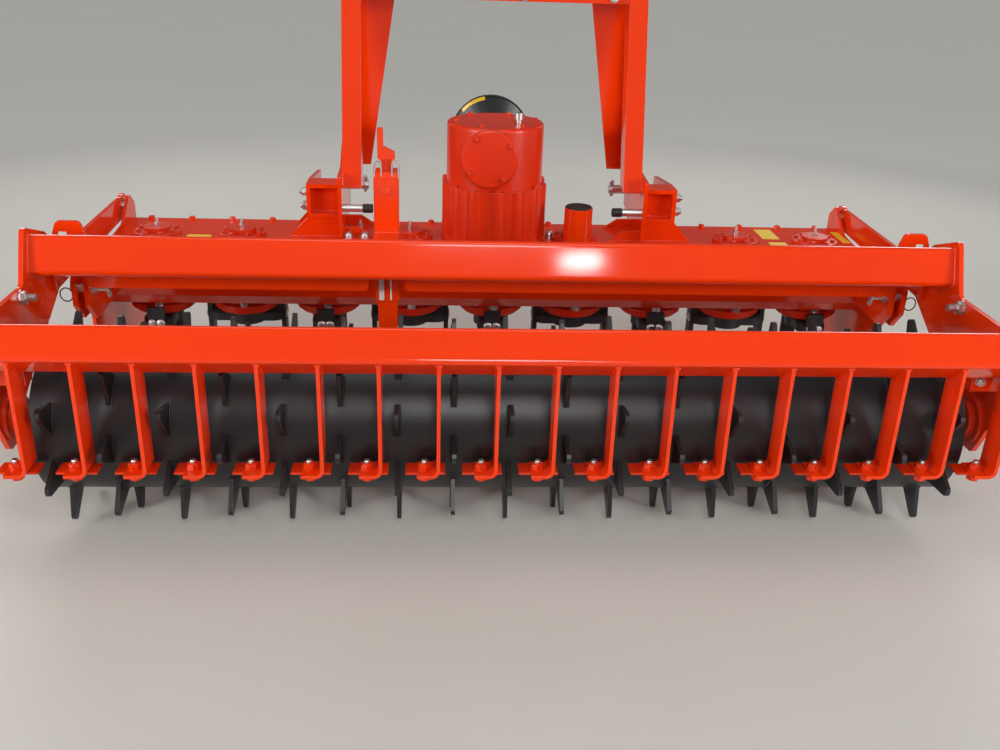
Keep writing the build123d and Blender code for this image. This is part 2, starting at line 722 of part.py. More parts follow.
def make_arm():
    """A flat arm from the pivot at the front of the trough back to the side plate."""
    rear_y = UPPER_BEAM_Y + ARM_REAR_REACH
    rear_top = UPPER_BEAM_Z - ARM_DROP
    points = [
        (PIVOT_Y, pivot_z - ARM_HEIGHT / 2),
        (PIVOT_Y, pivot_z + ARM_HEIGHT / 2),
        (rear_y, rear_top),
        (rear_y, rear_top - ARM_REAR_HEIGHT),
    ]
    face = outline(points) + Pos(PIVOT_Y, pivot_z) * Circle(PIVOT_EYE_RADIUS)
    face -= Pos(PIVOT_Y, pivot_z) * Circle(PIVOT_RADIUS + RUNNING_GAP)
    return upright(face, (arm_inner, side_inner))


def make_side_plate():
    """The plate at each end of the roller frame: a rim round both beams, and the roller's bearing below."""
    upper = beam_corners(UPPER_BEAM_Y, UPPER_BEAM_Z, UPPER_BEAM_SIZE / 2 + SIDE_RIM, UPPER_BEAM_TILT)
    rear = beam_corners(REAR_BEAM_Y, REAR_BEAM_Z, REAR_BEAM_SIZE / 2 + SIDE_RIM, REAR_BEAM_TILT)
    front_y = UPPER_BEAM_Y + SIDE_FRONT_REACH
    arm_top = UPPER_BEAM_Z - ARM_DROP
    waist_z = UPPER_BEAM_Z - SIDE_WAIST_DROP
    reach = BEARING_RADIUS + SIDE_RIM
    points = [
        (front_y, arm_top - ARM_HEIGHT),
        (front_y, arm_top),
        upper["top_front"],
        upper["top_rear"],
        (upper["low_rear"][0] - SIDE_RIM, waist_z),
        (rear["top_front"][0] + UPPER_BEAM_SIZE, waist_z),
        rear["top_front"],
        rear["top_rear"],
        rear["low_rear"],
        (ROLLER_Y - reach, TOOTH_TIP_RADIUS),
        (ROLLER_Y - reach / 2, TOOTH_TIP_RADIUS - reach),
        (ROLLER_Y + reach / 2, TOOTH_TIP_RADIUS - reach),
        (ROLLER_Y + reach, TOOTH_TIP_RADIUS),
    ]
    plate = upright(outline(points, SIDE_CORNER), (side_inner, side_outer))
    plate -= rod_x((ROLLER_Y, TOOTH_TIP_RADIUS), AXLE_RADIUS + RUNNING_GAP, (side_inner, side_outer))
    bare = beam_corners(REAR_BEAM_Y, REAR_BEAM_Z, REAR_BEAM_SIZE / 2, REAR_BEAM_TILT)
    corner_y, corner_z = bare["low_front"]
    saddle = block(
        (side_inner - SADDLE_LENGTH, side_inner),
        (corner_y + SADDLE_AHEAD, corner_y + SADDLE_AHEAD + SADDLE_DEPTH),
        (corner_z - SADDLE_HEIGHT / 2, corner_z + SADDLE_HEIGHT / 2),
    )
    return plate + (saddle - rear_room)


def make_bearing():
    """A flanged bearing on the inner face of a side plate, round the roller's axle."""
    place = (ROLLER_Y, TOOTH_TIP_RADIUS)
    bearing = rod_x(place, BEARING_RADIUS, (side_inner - 10, side_inner))
    bearing += rod_x(place, BEARING_RADIUS * 0.72, (side_inner - BEARING_THICKNESS, side_inner - 10))
    return bearing - rod_x(place, AXLE_RADIUS + RUNNING_GAP, (side_inner - BEARING_THICKNESS, side_inner))


def make_strips():
    """The stone guard under the upper beam, in two lengths either side of the adjuster."""
    lengths = [(-strip_half, ADJUSTER_X - STRIP_GAP), (ADJUSTER_X + STRIP_GAP, strip_half)]
    y = (strip_rear - STRIP_THICKNESS, strip_rear)
    strips = []
    for start, end in lengths:
        bar = Pos((start + end) / 2, strip_top - STRIP_HEIGHT / 2) * Rectangle(end - start, STRIP_HEIGHT)
        strip = crosswise(fillet(bar.vertices(), STRIP_CORNER), y)
        for x in (start + HANGER_INSET, end - HANGER_INSET):
            sides = (x - HANGER_WIDTH / 2, x + HANGER_WIDTH / 2)
            hanger = block(sides, y, (strip_top - STRIP_HEIGHT / 2, strip_top + HANGER_WIDTH))
            strip += hanger - upper_room
        strips.append(strip.solids().sort_by(SortBy.VOLUME)[-1])
    return Compound(children=strips)


def make_lug():
    """A lug with sloping sides and a square hole, standing on the front of the upper beam."""
    middle = trough_half - LUG_SETBACK
    low, top = UPPER_BEAM_Z + LUG_RISE / 3, UPPER_BEAM_Z + LUG_RISE
    points = [
        (middle - LUG_WIDTH / 2, low),
        (middle + LUG_WIDTH / 2, low),
        (middle + LUG_TOP_WIDTH / 2, top),
        (middle - LUG_TOP_WIDTH / 2, top),
    ]
    hole_z = top - LUG_HOLE_DROP
    face = outline(points, LUG_CORNER)
    face -= Pos(middle + LUG_HOLE_SHIFT, hole_z) * Rectangle(LUG_HOLE_WIDTH, LUG_HOLE_HEIGHT)
    y = UPPER_BEAM_Y + LUG_AHEAD
    return crosswise(face, (y, y + LUG_THICKNESS)) - upper_room


def make_roller():
    """The packer drum with its rings of plate teeth, every other ring turned by half a tooth."""
    place = (ROLLER_Y, TOOTH_TIP_RADIUS)
    root = math.sqrt(DRUM_RADIUS**2 - (TOOTH_ROOT / 2) ** 2) - TOOTH_SINK
    tip = TOOTH_TIP_RADIUS
    cut = TOOTH_CHAMFER
    tooth = outline(
        [
            (-TOOTH_ROOT / 2, root),
            (TOOTH_ROOT / 2, root),
            (TOOTH_LEAN + TOOTH_TIP / 2 + cut / 2, tip - cut),
            (TOOTH_LEAN + TOOTH_TIP / 2 - cut, tip),
            (TOOTH_LEAN - TOOTH_TIP / 2 + cut, tip),
            (TOOTH_LEAN - TOOTH_TIP / 2, tip - cut),
        ]
    )
    drum = rod_x((0, 0), DRUM_RADIUS, (-drum_half, drum_half))
    inner = DRUM_RADIUS - DRUM_WALL
    drum -= rod_x((0, 0), inner, (-drum_half, drum_half))
    end_outer_x = drum_half - DRUM_END_RECESS
    ends = [rod_x((0, 0), inner, (x, x + DRUM_WALL)) for x in (-end_outer_x, end_outer_x - DRUM_WALL)]
    axles = [
        rod_x((0, 0), AXLE_RADIUS, (-side_outer - 6, -end_outer_x)),
        rod_x((0, 0), AXLE_RADIUS, (end_outer_x, side_outer + 6)),
    ]
    half = TOOTH_THICKNESS / 2
    plates = []
    for i, x in enumerate(ring_places):
        for k in range(RING_TEETH):
            turn = 180 + 360 / RING_TEETH * (k + 0.5 * ((i + 1) % 2))
            plates.append(upright(Rot(0, 0, turn) * tooth, (x - half, x + half)))
    return Pos(0, *place) * (drum + ends + axles + plates)


def make_scraper_arms():
    """Flat bars that hang from the rear beam between the tooth rings, each bent to a foot on its blade."""
    low = SCRAPER_Z + SCRAPER_BLADE_THICKNESS
    right = SCRAPER_OFFSET + SCRAPER_THICKNESS / 2
    path = [(-SCRAPER_FOOT, low), (right, low), (right, REAR_BEAM_Z)]
    bent = offset_bar(path, SCRAPER_THICKNESS, SCRAPER_BEND)
    front_y = ROLLER_Y - DRUM_RADIUS - SCRAPER_ARM_GAP
    arms = []
    for x in scraper_places:
        arm = crosswise(Pos(x, 0) * bent, (front_y - SCRAPER_DEPTH, front_y)) - rear_room
        arms.append(arm.solids().sort_by(SortBy.VOLUME)[-1])
    return Compound(children=arms)


def make_scraper_blades():
    blades = []
    for x in scraper_places:
        half = SCRAPER_BLADE_WIDTH / 2
        y = (blade_front - SCRAPER_BLADE_DEPTH, blade_front)
        blades.append(block((x - half, x + half), y, (SCRAPER_Z, SCRAPER_Z + SCRAPER_BLADE_THICKNESS)))
    return Compound(children=blades)


def make_adjuster():
    """The upright square tube in front of the upper beam that the levelling board's stem slides in."""
    size = ADJUSTER_SIZE
    place = Pos(ADJUSTER_X, adjuster_y)
    full = fillet(Rectangle(size, size).vertices(), ADJUSTER_CORNER)
    room = Rectangle(size - 2 * ADJUSTER_WALL, size - 2 * ADJUSTER_WALL)
    tube = level(place * (full - room), (adjuster_low, adjuster_high))
    tube += extrude(Pos(0, 0, adjuster_high) * place * full, amount=ADJUSTER_CAP, taper=ADJUSTER_CAP_TAPER)
    bracket = block(
        (ADJUSTER_X - size / 2, ADJUSTER_X + size / 2),
        (UPPER_BEAM_Y + BRACKET_LAP, adjuster_y - size / 2),
        (UPPER_BEAM_Z - BRACKET_LAP, UPPER_BEAM_Z + UPPER_BEAM_SIZE / 2),
    )
    bracket = (bracket - upper_room).solids().sort_by(SortBy.VOLUME)[-1]
    return tube + bracket


def make_spindle():
    """The spindle's head on top of the adjuster, with its flat crank folded upright."""
    top = adjuster_high + ADJUSTER_CAP
    eye_low = top + SPINDLE_LENGTH / 2
    eye_top = eye_low + CRANK_EYE_HEIGHT
    spindle = disc((ADJUSTER_X, adjuster_y), SPINDLE_RADIUS, (top, top + SPINDLE_LENGTH))
    half, left = CRANK_EYE_WIDTH / 2, ADJUSTER_X - CRANK_EYE_WIDTH / 2
    crank = [
        (ADJUSTER_X - half * 0.7, eye_low),
        (ADJUSTER_X + half * 0.7, eye_low),
        (ADJUSTER_X + half, eye_low + CRANK_EYE_HEIGHT / 3),
        (ADJUSTER_X + half, eye_top),
        (left + CRANK_BAR_WIDTH, eye_top + CRANK_BAR_WIDTH),
        (left + CRANK_BAR_WIDTH, eye_top + CRANK_BAR_HEIGHT),
        (left, eye_top + CRANK_BAR_HEIGHT),
        (left, eye_low + CRANK_EYE_HEIGHT / 3),
    ]
    y = (adjuster_y - CRANK_THICKNESS / 2, adjuster_y + CRANK_THICKNESS / 2)
    return spindle + crosswise(outline(crank, 4), y)


def make_board_stem():
    size = ADJUSTER_SIZE - 2 * ADJUSTER_WALL - 2 * STEM_CLEARANCE
    stem = Rectangle(size, size)
    return level(Pos(ADJUSTER_X, adjuster_y) * stem, (BOARD_HIGH, BOARD_HIGH + STEM_LENGTH))


def make_board():
    """The levelling board: a long plate behind the tines with a folded upper edge."""
    y = adjuster_y - BOARD_THICKNESS / 2
    fold = BOARD_HIGH - BOARD_THICKNESS
    ends = (-board_half, board_half)
    board = block(ends, (y, y + BOARD_THICKNESS), (BOARD_LOW, fold))
    return board + block(ends, (y - BOARD_FLANGE_REAR, y + BOARD_FLANGE_FRONT), (fold, BOARD_HIGH))


nodes = {
    "trough": make_trough(),
    "trough_lid": make_lid(),
    "bearing_caps": make_caps(),
    "bearing_housings": make_housings(),
    "gearbox_base": make_gearbox_base(),
    "gearbox_drum": make_gearbox_drum(),
    "gearbox_cover": make_gearbox_cover(),
    "input_guard": make_pto_guard(),
    "input_shaft": make_pto_shaft(),
    "oil_filler": make_filler(),
    "oil_filler_cap": make_filler_cap(),
    "breather": make_breather(),
    "tower_crossbar": make_crossbar(),
    "top_link_ears": make_ears(),
    "upper_beam": make_upper_beam(),
    "rear_beam": make_rear_beam(),
    "stone_guard": make_strips(),
    "packer_roller": make_roller(),
    "scraper_arms": make_scraper_arms(),
    "scraper_blades": make_scraper_blades(),
    "board_adjuster": make_adjuster(),
    "board_spindle": make_spindle(),
    "board_stem": make_board_stem(),
    "levelling_board": make_board(),
}
for number, place in enumerate(rotor_places, start=1):
    nodes[f"rotor_{number}"] = make_rotor(place, 90 if number % 2 else 0)
paired = {
    "end_plates": make_end_plate,
    "arm_pivots": make_pivot,
    "depth_sectors": make_sector,
    "depth_pins": make_depth_pin,
    "link_boxes": make_link_box,
    "link_pins": make_link_pin,
    "rear_stays": make_stay,
    "front_legs": make_front_leg,
    "roller_arms": make_arm,
    "side_plates": make_side_plate,
    "roller_bearings": make_bearing,
    "beam_lugs": make_lug,
}
for name, make in paired.items():
    nodes[name] = both_sides(make())

whole = Compound(children=[Compound(node.wrapped) for node in nodes.values()]).bounding_box()
middle_y = (whole.min.Y + whole.max.Y) / 2

os.makedirs("parts", exist_ok=True)
for name, node in nodes.items():
    export_step(Pos(0, -middle_y, 0) * node, f"parts/{name}.step")
print("middle of the machine along Y, from the rotor line:", round(middle_y, 4))
print("size:", [round(v, 2) for v in (whole.size.X, whole.size.Y, whole.size.Z)])
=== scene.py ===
# %% [markdown]
# # Dressing a power harrow
# A power harrow breaks soil with a row of upright spinning tines and presses it flat again with a toothed
# roller. Its steel frame, rotors and roller come from a CAD model that is already packed, and this script
# gives that frame its paint, its fasteners, its welds and its small loose fittings. Everything is measured
# in metres, in the same places as the CAD model, so a bolt goes where its plate is without any fitting.

# %% Load the steel frame
import math

import bmesh
import bpy
from mathutils import Matrix, Vector


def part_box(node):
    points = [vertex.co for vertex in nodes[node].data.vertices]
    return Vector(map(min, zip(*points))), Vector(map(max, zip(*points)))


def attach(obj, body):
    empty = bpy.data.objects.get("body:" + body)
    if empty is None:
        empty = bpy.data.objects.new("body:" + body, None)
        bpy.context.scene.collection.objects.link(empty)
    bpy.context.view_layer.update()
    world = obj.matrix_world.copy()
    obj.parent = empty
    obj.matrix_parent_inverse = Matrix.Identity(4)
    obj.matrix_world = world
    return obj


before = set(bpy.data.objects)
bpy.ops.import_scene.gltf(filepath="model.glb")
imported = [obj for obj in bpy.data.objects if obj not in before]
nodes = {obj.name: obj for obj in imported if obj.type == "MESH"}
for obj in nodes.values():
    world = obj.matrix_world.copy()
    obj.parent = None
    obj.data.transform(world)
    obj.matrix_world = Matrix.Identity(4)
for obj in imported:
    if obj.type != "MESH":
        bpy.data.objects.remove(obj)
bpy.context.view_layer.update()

# %% [markdown]
# ## Where things are
# The row of rotors is the machine's own datum: a maker measures from it. The trough is even on both sides
# of that row, so the middle of its box gives the row's place. `spot` turns a place in millimetres, measured
# from the row and from the floor, into a point of the scene.

# %% The line of the rotors
ROTORS = 9
trough_low, trough_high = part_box("trough")
ROTOR_LINE = (trough_low.y + trough_high.y) / 2


def spot(x, y, z):
    """A point of the scene, from millimetres measured from the row of rotors and the floor."""
    return Vector((x, y, z)) / 1000 + Vector((0, ROTOR_LINE, 0))


def mm(value):
    """Millimetres as metres."""
    return value / 1000


rotor_x = [sum(corner.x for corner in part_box(f"rotor_{i}")) * 500 for i in range(1, ROTORS + 1)]
print("rotor line at y =", round(ROTOR_LINE, 4), "rotors at x mm:", [round(x) for x in rotor_x])

# %% [markdown]
# ## The camera
# The reference view looks down at the machine from behind, a little left of its middle. A camera is three
# directions and a place: which way its right-hand edge points, which way its top points and which way it
# looks. These come from matching known points of the machine, such as the rotor caps and the tooth rings.

# %% Place the camera
CAMERA_PLACE = (-164.1, -2981.7, 1327.1)
YAW, PITCH, ROLL = (math.radians(v) for v in (-3.87, 23.89, 1.95))
FOCAL_PIXELS, PICTURE_WIDTH = 1011.2, 1000
SENSOR_WIDTH = 36

level_right = Vector((math.cos(YAW), math.sin(YAW), 0))
ahead = Vector((-math.sin(YAW) * math.cos(PITCH), math.cos(YAW) * math.cos(PITCH), -math.sin(PITCH)))
level_up = level_right.cross(ahead)
right = level_right * math.cos(ROLL) + level_up * math.sin(ROLL)
up = level_up * math.cos(ROLL) - level_right * math.sin(ROLL)
turn = Matrix((right, up, -ahead)).transposed().to_4x4()

camera = bpy.data.objects.new("camera", bpy.data.cameras.new("camera"))
camera.data.sensor_width = SENSOR_WIDTH
camera.data.lens = FOCAL_PIXELS * SENSOR_WIDTH / PICTURE_WIDTH
camera.data.clip_end = 200
camera.matrix_world = Matrix.Translation(spot(*CAMERA_PLACE)) @ turn
bpy.context.scene.collection.objects.link(camera)
bpy.context.scene.camera = camera
print("lens", round(camera.data.lens, 2), "mm")

# %% [markdown]
# ## Nodes and colours
# Every finish and every repeated piece below is a tree of nodes. Adding a node, setting it and linking it
# takes three lines each time, so one short helper does all three. Colours are written as screen colours,
# which is how they are measured, and a shader works with linear ones, so a second helper turns them. The
# third starts a finish with an empty tree.

# %% Helpers for nodes and colours


def add(tree, kind, inputs=None, **settings):
    """Adds a node to a tree. An input is a number, a colour or another node's output socket."""
    node = tree.nodes.new(kind)
    for name, value in settings.items():
        setattr(node, name, value)
    for socket, value in (inputs or {}).items():
        if isinstance(value, bpy.types.NodeSocket):
            tree.links.new(value, node.inputs[socket])
        else:
            node.inputs[socket].default_value = value
    return node


def colour(code):
    """Turns a screen colour such as #F03E1A into the linear values that a shader works with."""
    parts = [int(code[i:i + 2], 16) / 255 for i in (1, 3, 5)]
    linear = [p / 12.92 if p <= 0.04045 else ((p + 0.055) / 1.055) ** 2.4 for p in parts]
    return (*linear, 1.0)


def new_finish(name):
    """An empty material and its tree of nodes."""
    finish = bpy.data.materials.new(name)
    finish.use_nodes = True
    finish.node_tree.nodes.clear()
    return finish, finish.node_tree


print("half grey on the screen is", round(colour("#808080")[0], 3), "of white in the shader")


# %% [markdown]
# ## Light
# Enamel mirrors whatever is around it, so each lamp is also a highlight, and a lamp's place is worked out
# from what each face would mirror. The window is tall and narrow and lights the rear of the harrow without
# showing in it. The small lamp is there for one short glare on the upper beam. The keys stand far out to
# each side, where no beam mirrors them, and shine only forward, so that they leave no pool of light on the
# floor. The two fills are for the side that the tractor sees. The surroundings are paler behind the camera
# than in front of it, which lights what the beams shade.

# %% The surroundings
scene = bpy.context.scene
scene.view_settings.view_transform = "Standard"
scene.world = bpy.data.worlds.new("studio")
scene.world.use_nodes = True
studio = scene.world.node_tree
studio.nodes.clear()
sky = add(studio, "ShaderNodeTexCoord")
look = add(studio, "ShaderNodeSeparateXYZ", {0: sky.outputs["Generated"]})
wall = add(studio, "ShaderNodeMapRange", {"Value": look.outputs["Y"], "From Min": -0.9, "From Max": 0.7,
                                          "To Min": 0.30, "To Max": 0.14})
backdrop = add(studio, "ShaderNodeBackground", {"Color": colour("#F4F3F0"), "Strength": wall.outputs[0]})
add(studio, "ShaderNodeOutputWorld", {"Surface": backdrop.outputs[0]})
print("surroundings:", len(studio.nodes), "nodes")

# %% The lamps
# Name, place and aim in mm, width and height in metres, watts, and how wide it shines in degrees.
lamps = [
    ("window", (235, -4700, 3300), (0, -600, 300), 1.0, 1.5, 62, 180),
    ("overhead", (-300, -700, 3600), (0, -200, 300), 2.8, 1.0, 20, 180),
    ("lamp", (580, -3100, 1621), (190, -560, 568), 0.20, 0.07, 2.2, 180),
    ("left key", (-3400, -2800, 1250), (0, -500, 450), 1.2, 1.4, 18, 80),
    ("right key", (3600, -2800, 1250), (0, -500, 450), 1.2, 1.4, 19, 80),
    ("front fill", (-3000, 2800, 3000), (0, 0, 500), 2.0, 1.2, 32, 120),
    ("second fill", (3000, 3100, 2600), (0, 0, 500), 1.6, 1.2, 26, 120),
]
for name, place, target, width, height, power, spread in lamps:
    data = bpy.data.lights.new(name, "AREA")
    data.shape = "RECTANGLE"
    data.size, data.size_y, data.energy = width, height, power
    data.spread = math.radians(spread)
    lamp = bpy.data.objects.new(name, data)
    aim = spot(*target) - spot(*place)
    lamp.matrix_world = Matrix.Translation(spot(*place)) @ aim.to_track_quat("-Z", "Y").to_matrix().to_4x4()
    scene.collection.objects.link(lamp)
print("lamps:", len(lamps))

# %% [markdown]
# ## The floor
# The floor is plain and pale, and only keeps the shadow. The lamps are small, so far away it would sink into
# the dark. It could be given more lamps, but enamel would mirror them. A faint glow that grows with the
# distance, and that only the camera and mirrors see, does the same and adds no light to the harrow.

# %% The floor
# All in metres, and how bright the glow is at its end.
FLOOR_HALF = 40
GLOW_START, GLOW_END, GLOW = 1.0, 5.0, 0.28
floor_corners = [(FLOOR_HALF * x, FLOOR_HALF * y, 0) for x, y in ((-1, -1), (1, -1), (1, 1), (-1, 1))]
floor_mesh = bpy.data.meshes.new("floor")
floor_mesh.from_pydata(floor_corners, [], [(0, 1, 2, 3)])
floor = bpy.data.objects.new("floor", floor_mesh)
scene.collection.objects.link(floor)

plaster, tree = new_finish("pale floor, trowelled")
place = add(tree, "ShaderNodeTexCoord")
cloud = add(tree, "ShaderNodeTexNoise", {"Vector": place.outputs["Object"], "Scale": 1.3, "Detail": 6.0})
tone = add(tree, "ShaderNodeMix", {"Factor": cloud.outputs["Fac"], 6: colour("#C4C1B9"),
                                   7: colour("#CFCCC5")}, data_type="RGBA")
matt = add(tree, "ShaderNodeBsdfPrincipled", {"Base Color": tone.outputs[2], "Roughness": 0.85})
away = add(tree, "ShaderNodeVectorMath", {0: place.outputs["Object"]}, operation="LENGTH")
far = add(tree, "ShaderNodeMapRange", {"Value": away.outputs["Value"], "From Min": GLOW_START,
                                       "From Max": GLOW_END, "To Max": GLOW})
ray = add(tree, "ShaderNodeLightPath").outputs
seen = add(tree, "ShaderNodeMath", {0: ray["Is Camera Ray"], 1: ray["Is Glossy Ray"]}, operation="MAXIMUM")
strength = add(tree, "ShaderNodeMath", {0: far.outputs[0], 1: seen.outputs[0]}, operation="MULTIPLY")
glow = add(tree, "ShaderNodeEmission", {"Color": colour("#F1EFEA"), "Strength": strength.outputs[0]})
both = add(tree, "ShaderNodeAddShader", {0: matt.outputs[0], 1: glow.outputs[0]})
add(tree, "ShaderNodeOutputMaterial", {"Surface": both.outputs[0]})
floor_mesh.materials.append(plaster)
print("floor", 2 * FLOOR_HALF, "m wide, glow from", GLOW_START, "to", GLOW_END, "m")

# %% [markdown]
# ## Red enamel on rolled steel
# The frame is welded from rolled tube and plate, shot blasted and sprayed with one thick coat of glossy
# orange-red enamel. Sprayed enamel isn't a mirror: it dries with a faint skin like orange peel, a cell or
# two to the millimetre, and its colour drifts a little where the coat is thicker. Here the cells are drawn
# 2 mm wide, because finer ones don't show. On sharp edges the coat is thin and looks paler. A bevel node
# finds those edges, because there the smoothed surface direction differs from the true one, and the same
# node rounds the edge's highlight as a real folded plate does.

# %% Make the red enamel


def enamel(name, thick, thin, edge, peel_mm, peel, roughness, edge_mm=1.6):
    """A sprayed coat: a colour that drifts between thick and thin, a pale edge and an orange-peel skin."""
    finish, tree = new_finish(name)
    place = add(tree, "ShaderNodeTexCoord").outputs["Object"]
    drift = add(tree, "ShaderNodeTexNoise", {"Vector": place, "Scale": 3.2, "Detail": 4.0})
    body = add(tree, "ShaderNodeMix", {"Factor": drift.outputs["Fac"], 6: colour(thick), 7: colour(thin)},
               data_type="RGBA")
    true_face = add(tree, "ShaderNodeNewGeometry").outputs["Normal"]
    soft_face = add(tree, "ShaderNodeBevel", {"Radius": mm(edge_mm)}, samples=4).outputs["Normal"]
    along = add(tree, "ShaderNodeVectorMath", {0: true_face, 1: soft_face}, operation="DOT_PRODUCT")
    bare = add(tree, "ShaderNodeMapRange", {"Value": along.outputs["Value"], "From Min": 0.99,
                                            "From Max": 0.86, "To Max": 0.55})
    patchy = add(tree, "ShaderNodeTexNoise", {"Vector": place, "Scale": 38.0, "Detail": 3.0})
    worn = add(tree, "ShaderNodeMath", {0: bare.outputs[0], 1: patchy.outputs["Fac"]}, operation="MULTIPLY")
    skin = add(tree, "ShaderNodeMix", {"Factor": worn.outputs[0], 6: body.outputs[2], 7: colour(edge)},
               data_type="RGBA")
    cells = add(tree, "ShaderNodeTexNoise", {"Vector": place, "Scale": 1000 / peel_mm, "Detail": 2.0})
    relief = add(tree, "ShaderNodeBump", {"Height": cells.outputs["Fac"], "Strength": peel,
                                          "Distance": 0.0003, "Normal": soft_face})
    gloss = add(tree, "ShaderNodeMapRange", {"Value": drift.outputs["Fac"], "To Min": roughness * 0.85,
                                             "To Max": roughness * 1.2})
    surface = add(tree, "ShaderNodeBsdfPrincipled", {
        "Base Color": skin.outputs[2], "Roughness": gloss.outputs[0], "Normal": relief.outputs[0]})
    add(tree, "ShaderNodeOutputMaterial", {"Surface": surface.outputs[0]})
    return finish


red_steel = enamel("orange-red enamel, sprayed on rolled steel", "#E23404", "#EA3B06", "#F8561F",
                   peel_mm=2.2, peel=0.05, roughness=0.09)
print("made", red_steel.name)

# %% [markdown]
# ## Red enamel on cast iron
# The gearbox, the bearing housings and their caps are poured into sand moulds. The paint is the same, but
# the skin under it is grainy, with lumps a few millimetres wide, and every corner is rounder, because a
# sharp corner would tear the mould. So the same recipe gets a coarser, deeper relief and a wider bevel.

# %% Make the casting's enamel
red_casting = enamel("orange-red enamel, sprayed on sand-cast iron", "#D42B05", "#DE3206", "#F04E1C",
                     peel_mm=5.5, peel=0.34, roughness=0.30, edge_mm=3.0)
print("made", red_casting.name)

# %% [markdown]
# ## Black finishes
# The roller and its teeth wear a satin black coat, which scatters a lamp into a wide grey band along the
# drum. The tines are forged and hardened, and their dark scale is a little bluer and rougher. The guard
# and the filler's cap are moulded plastic with a fine spark-eroded grain.

# %% Make the black finishes
black_satin = enamel("black satin enamel, sprayed on rolled steel", "#19191B", "#222225", "#58585B",
                     peel_mm=2.6, peel=0.16, roughness=0.38)
forged_steel = enamel("dark mill scale on forged tines", "#1D1E21", "#2B2C30", "#63646A",
                      peel_mm=4.2, peel=0.42, roughness=0.52, edge_mm=1.2)
moulded = enamel("black plastic, moulded with a fine grain", "#18191A", "#1F2021", "#2E2F30",
                 peel_mm=0.9, peel=0.30, roughness=0.48)
print("made", black_satin.name, "and two more")

# %% [markdown]
# ## Bright zinc
# Bolts, nuts and pins are zinc plated and passivated, so they are bright with a faint yellow and blue
# bloom and fine marks from the plating barrel. Metal takes its colour from its reflection, so the bloom
# goes into the base colour of a fully metallic surface and the marks go into its roughness.

# %% Make the zinc plate
zinc, tree = new_finish("bright zinc plate, passivated")
place = add(tree, "ShaderNodeTexCoord").outputs["Object"]
bloom = add(tree, "ShaderNodeTexNoise", {"Vector": place, "Scale": 60.0, "Detail": 2.0})
tint = add(tree, "ShaderNodeMix", {"Factor": bloom.outputs["Fac"], 6: colour("#D9D6CB"),
                                   7: colour("#C8CDD6")}, data_type="RGBA")
marks = add(tree, "ShaderNodeTexNoise", {"Vector": place, "Scale": 900.0, "Detail": 3.0})
haze = add(tree, "ShaderNodeMapRange", {"Value": marks.outputs["Fac"], "To Min": 0.24, "To Max": 0.50})
soft_face = add(tree, "ShaderNodeBevel", {"Radius": mm(0.7)}, samples=4).outputs["Normal"]
dents = add(tree, "ShaderNodeBump", {"Height": marks.outputs["Fac"], "Strength": 0.12, "Distance": 0.0002,
                                     "Normal": soft_face})
plate = add(tree, "ShaderNodeBsdfPrincipled", {"Base Color": tint.outputs[2], "Metallic": 1.0,
                                               "Roughness": haze.outputs[0], "Normal": dents.outputs[0]})
add(tree, "ShaderNodeOutputMaterial", {"Surface": plate.outputs[0]})
print("made", zinc.name)

# %% [markdown]
# ## Finishes of the CAD pieces
# The frame's own pieces keep their shape and get these finishes. Most are red rolled steel, so only the
# others are listed: castings, the satin roller, the forged tines, the bright pins and shaft, the plastics.

# %% Give each CAD piece its finish
finishes = {
    "casting": ("gearbox_base", "gearbox_drum", "gearbox_cover", "bearing_caps", "bearing_housings",
                "roller_bearings"),
    "satin": ("packer_roller",),
    "tine": tuple(f"rotor_{i}" for i in range(1, ROTORS + 1)),
    "zinc": ("input_shaft", "arm_pivots", "depth_pins", "link_pins", "breather"),
    "plastic": ("input_guard", "oil_filler_cap"),
}
finish_of = {"casting": red_casting, "satin": black_satin, "tine": forged_steel, "zinc": zinc,
             "plastic": moulded}
chosen = {name: finish_of[kind] for kind, names in finishes.items() for name in names}
for name, piece in nodes.items():
    finish = chosen.get(name, red_steel)
    for slot in piece.material_slots:
        slot.material = finish
    if not piece.material_slots:
        piece.data.materials.append(finish)
print("finishes given to", len(nodes), "pieces")

# %% [markdown]
# ## Fasteners
# A harrow is held together by hundreds of bolts in a few sizes. Each could be modelled by hand, but they
# repeat, so one Geometry Nodes tree makes them all: it takes a cloud of points, each with a direction
# called `aim`, and stands a washer, a hexagon head with a turned chamfer and a stud end on each point. A
# fixed seed turns every hexagon by its own chance angle, as a spanner leaves them.

# %% Helpers that run a Geometry Nodes tree


def new_tree(name, sizes):
    """An empty geometry tree with named size inputs, a seed and a finish."""
    tree = bpy.data.node_groups.new(name, "GeometryNodeTree")
    tree.interface.new_socket("Geometry", in_out="INPUT", socket_type="NodeSocketGeometry")
    tree.interface.new_socket("Geometry", in_out="OUTPUT", socket_type="NodeSocketGeometry")
    for size in sizes:
        tree.interface.new_socket(size, in_out="INPUT", socket_type="NodeSocketFloat")
    tree.interface.new_socket("Seed", in_out="INPUT", socket_type="NodeSocketInt")
    tree.interface.new_socket("Finish", in_out="INPUT", socket_type="NodeSocketMaterial")
    return tree, tree.nodes.new("NodeGroupInput")


def close_tree(tree, shape, source):
    """Ends a tree: the instances become real mesh and take their finish."""
    real = add(tree, "GeometryNodeRealizeInstances", {"Geometry": shape})
    dressed = add(tree, "GeometryNodeSetMaterial", {"Geometry": real.outputs[0],
                                                    "Material": source.outputs["Finish"]})
    add(tree, "NodeGroupOutput", {"Geometry": dressed.outputs[0]})


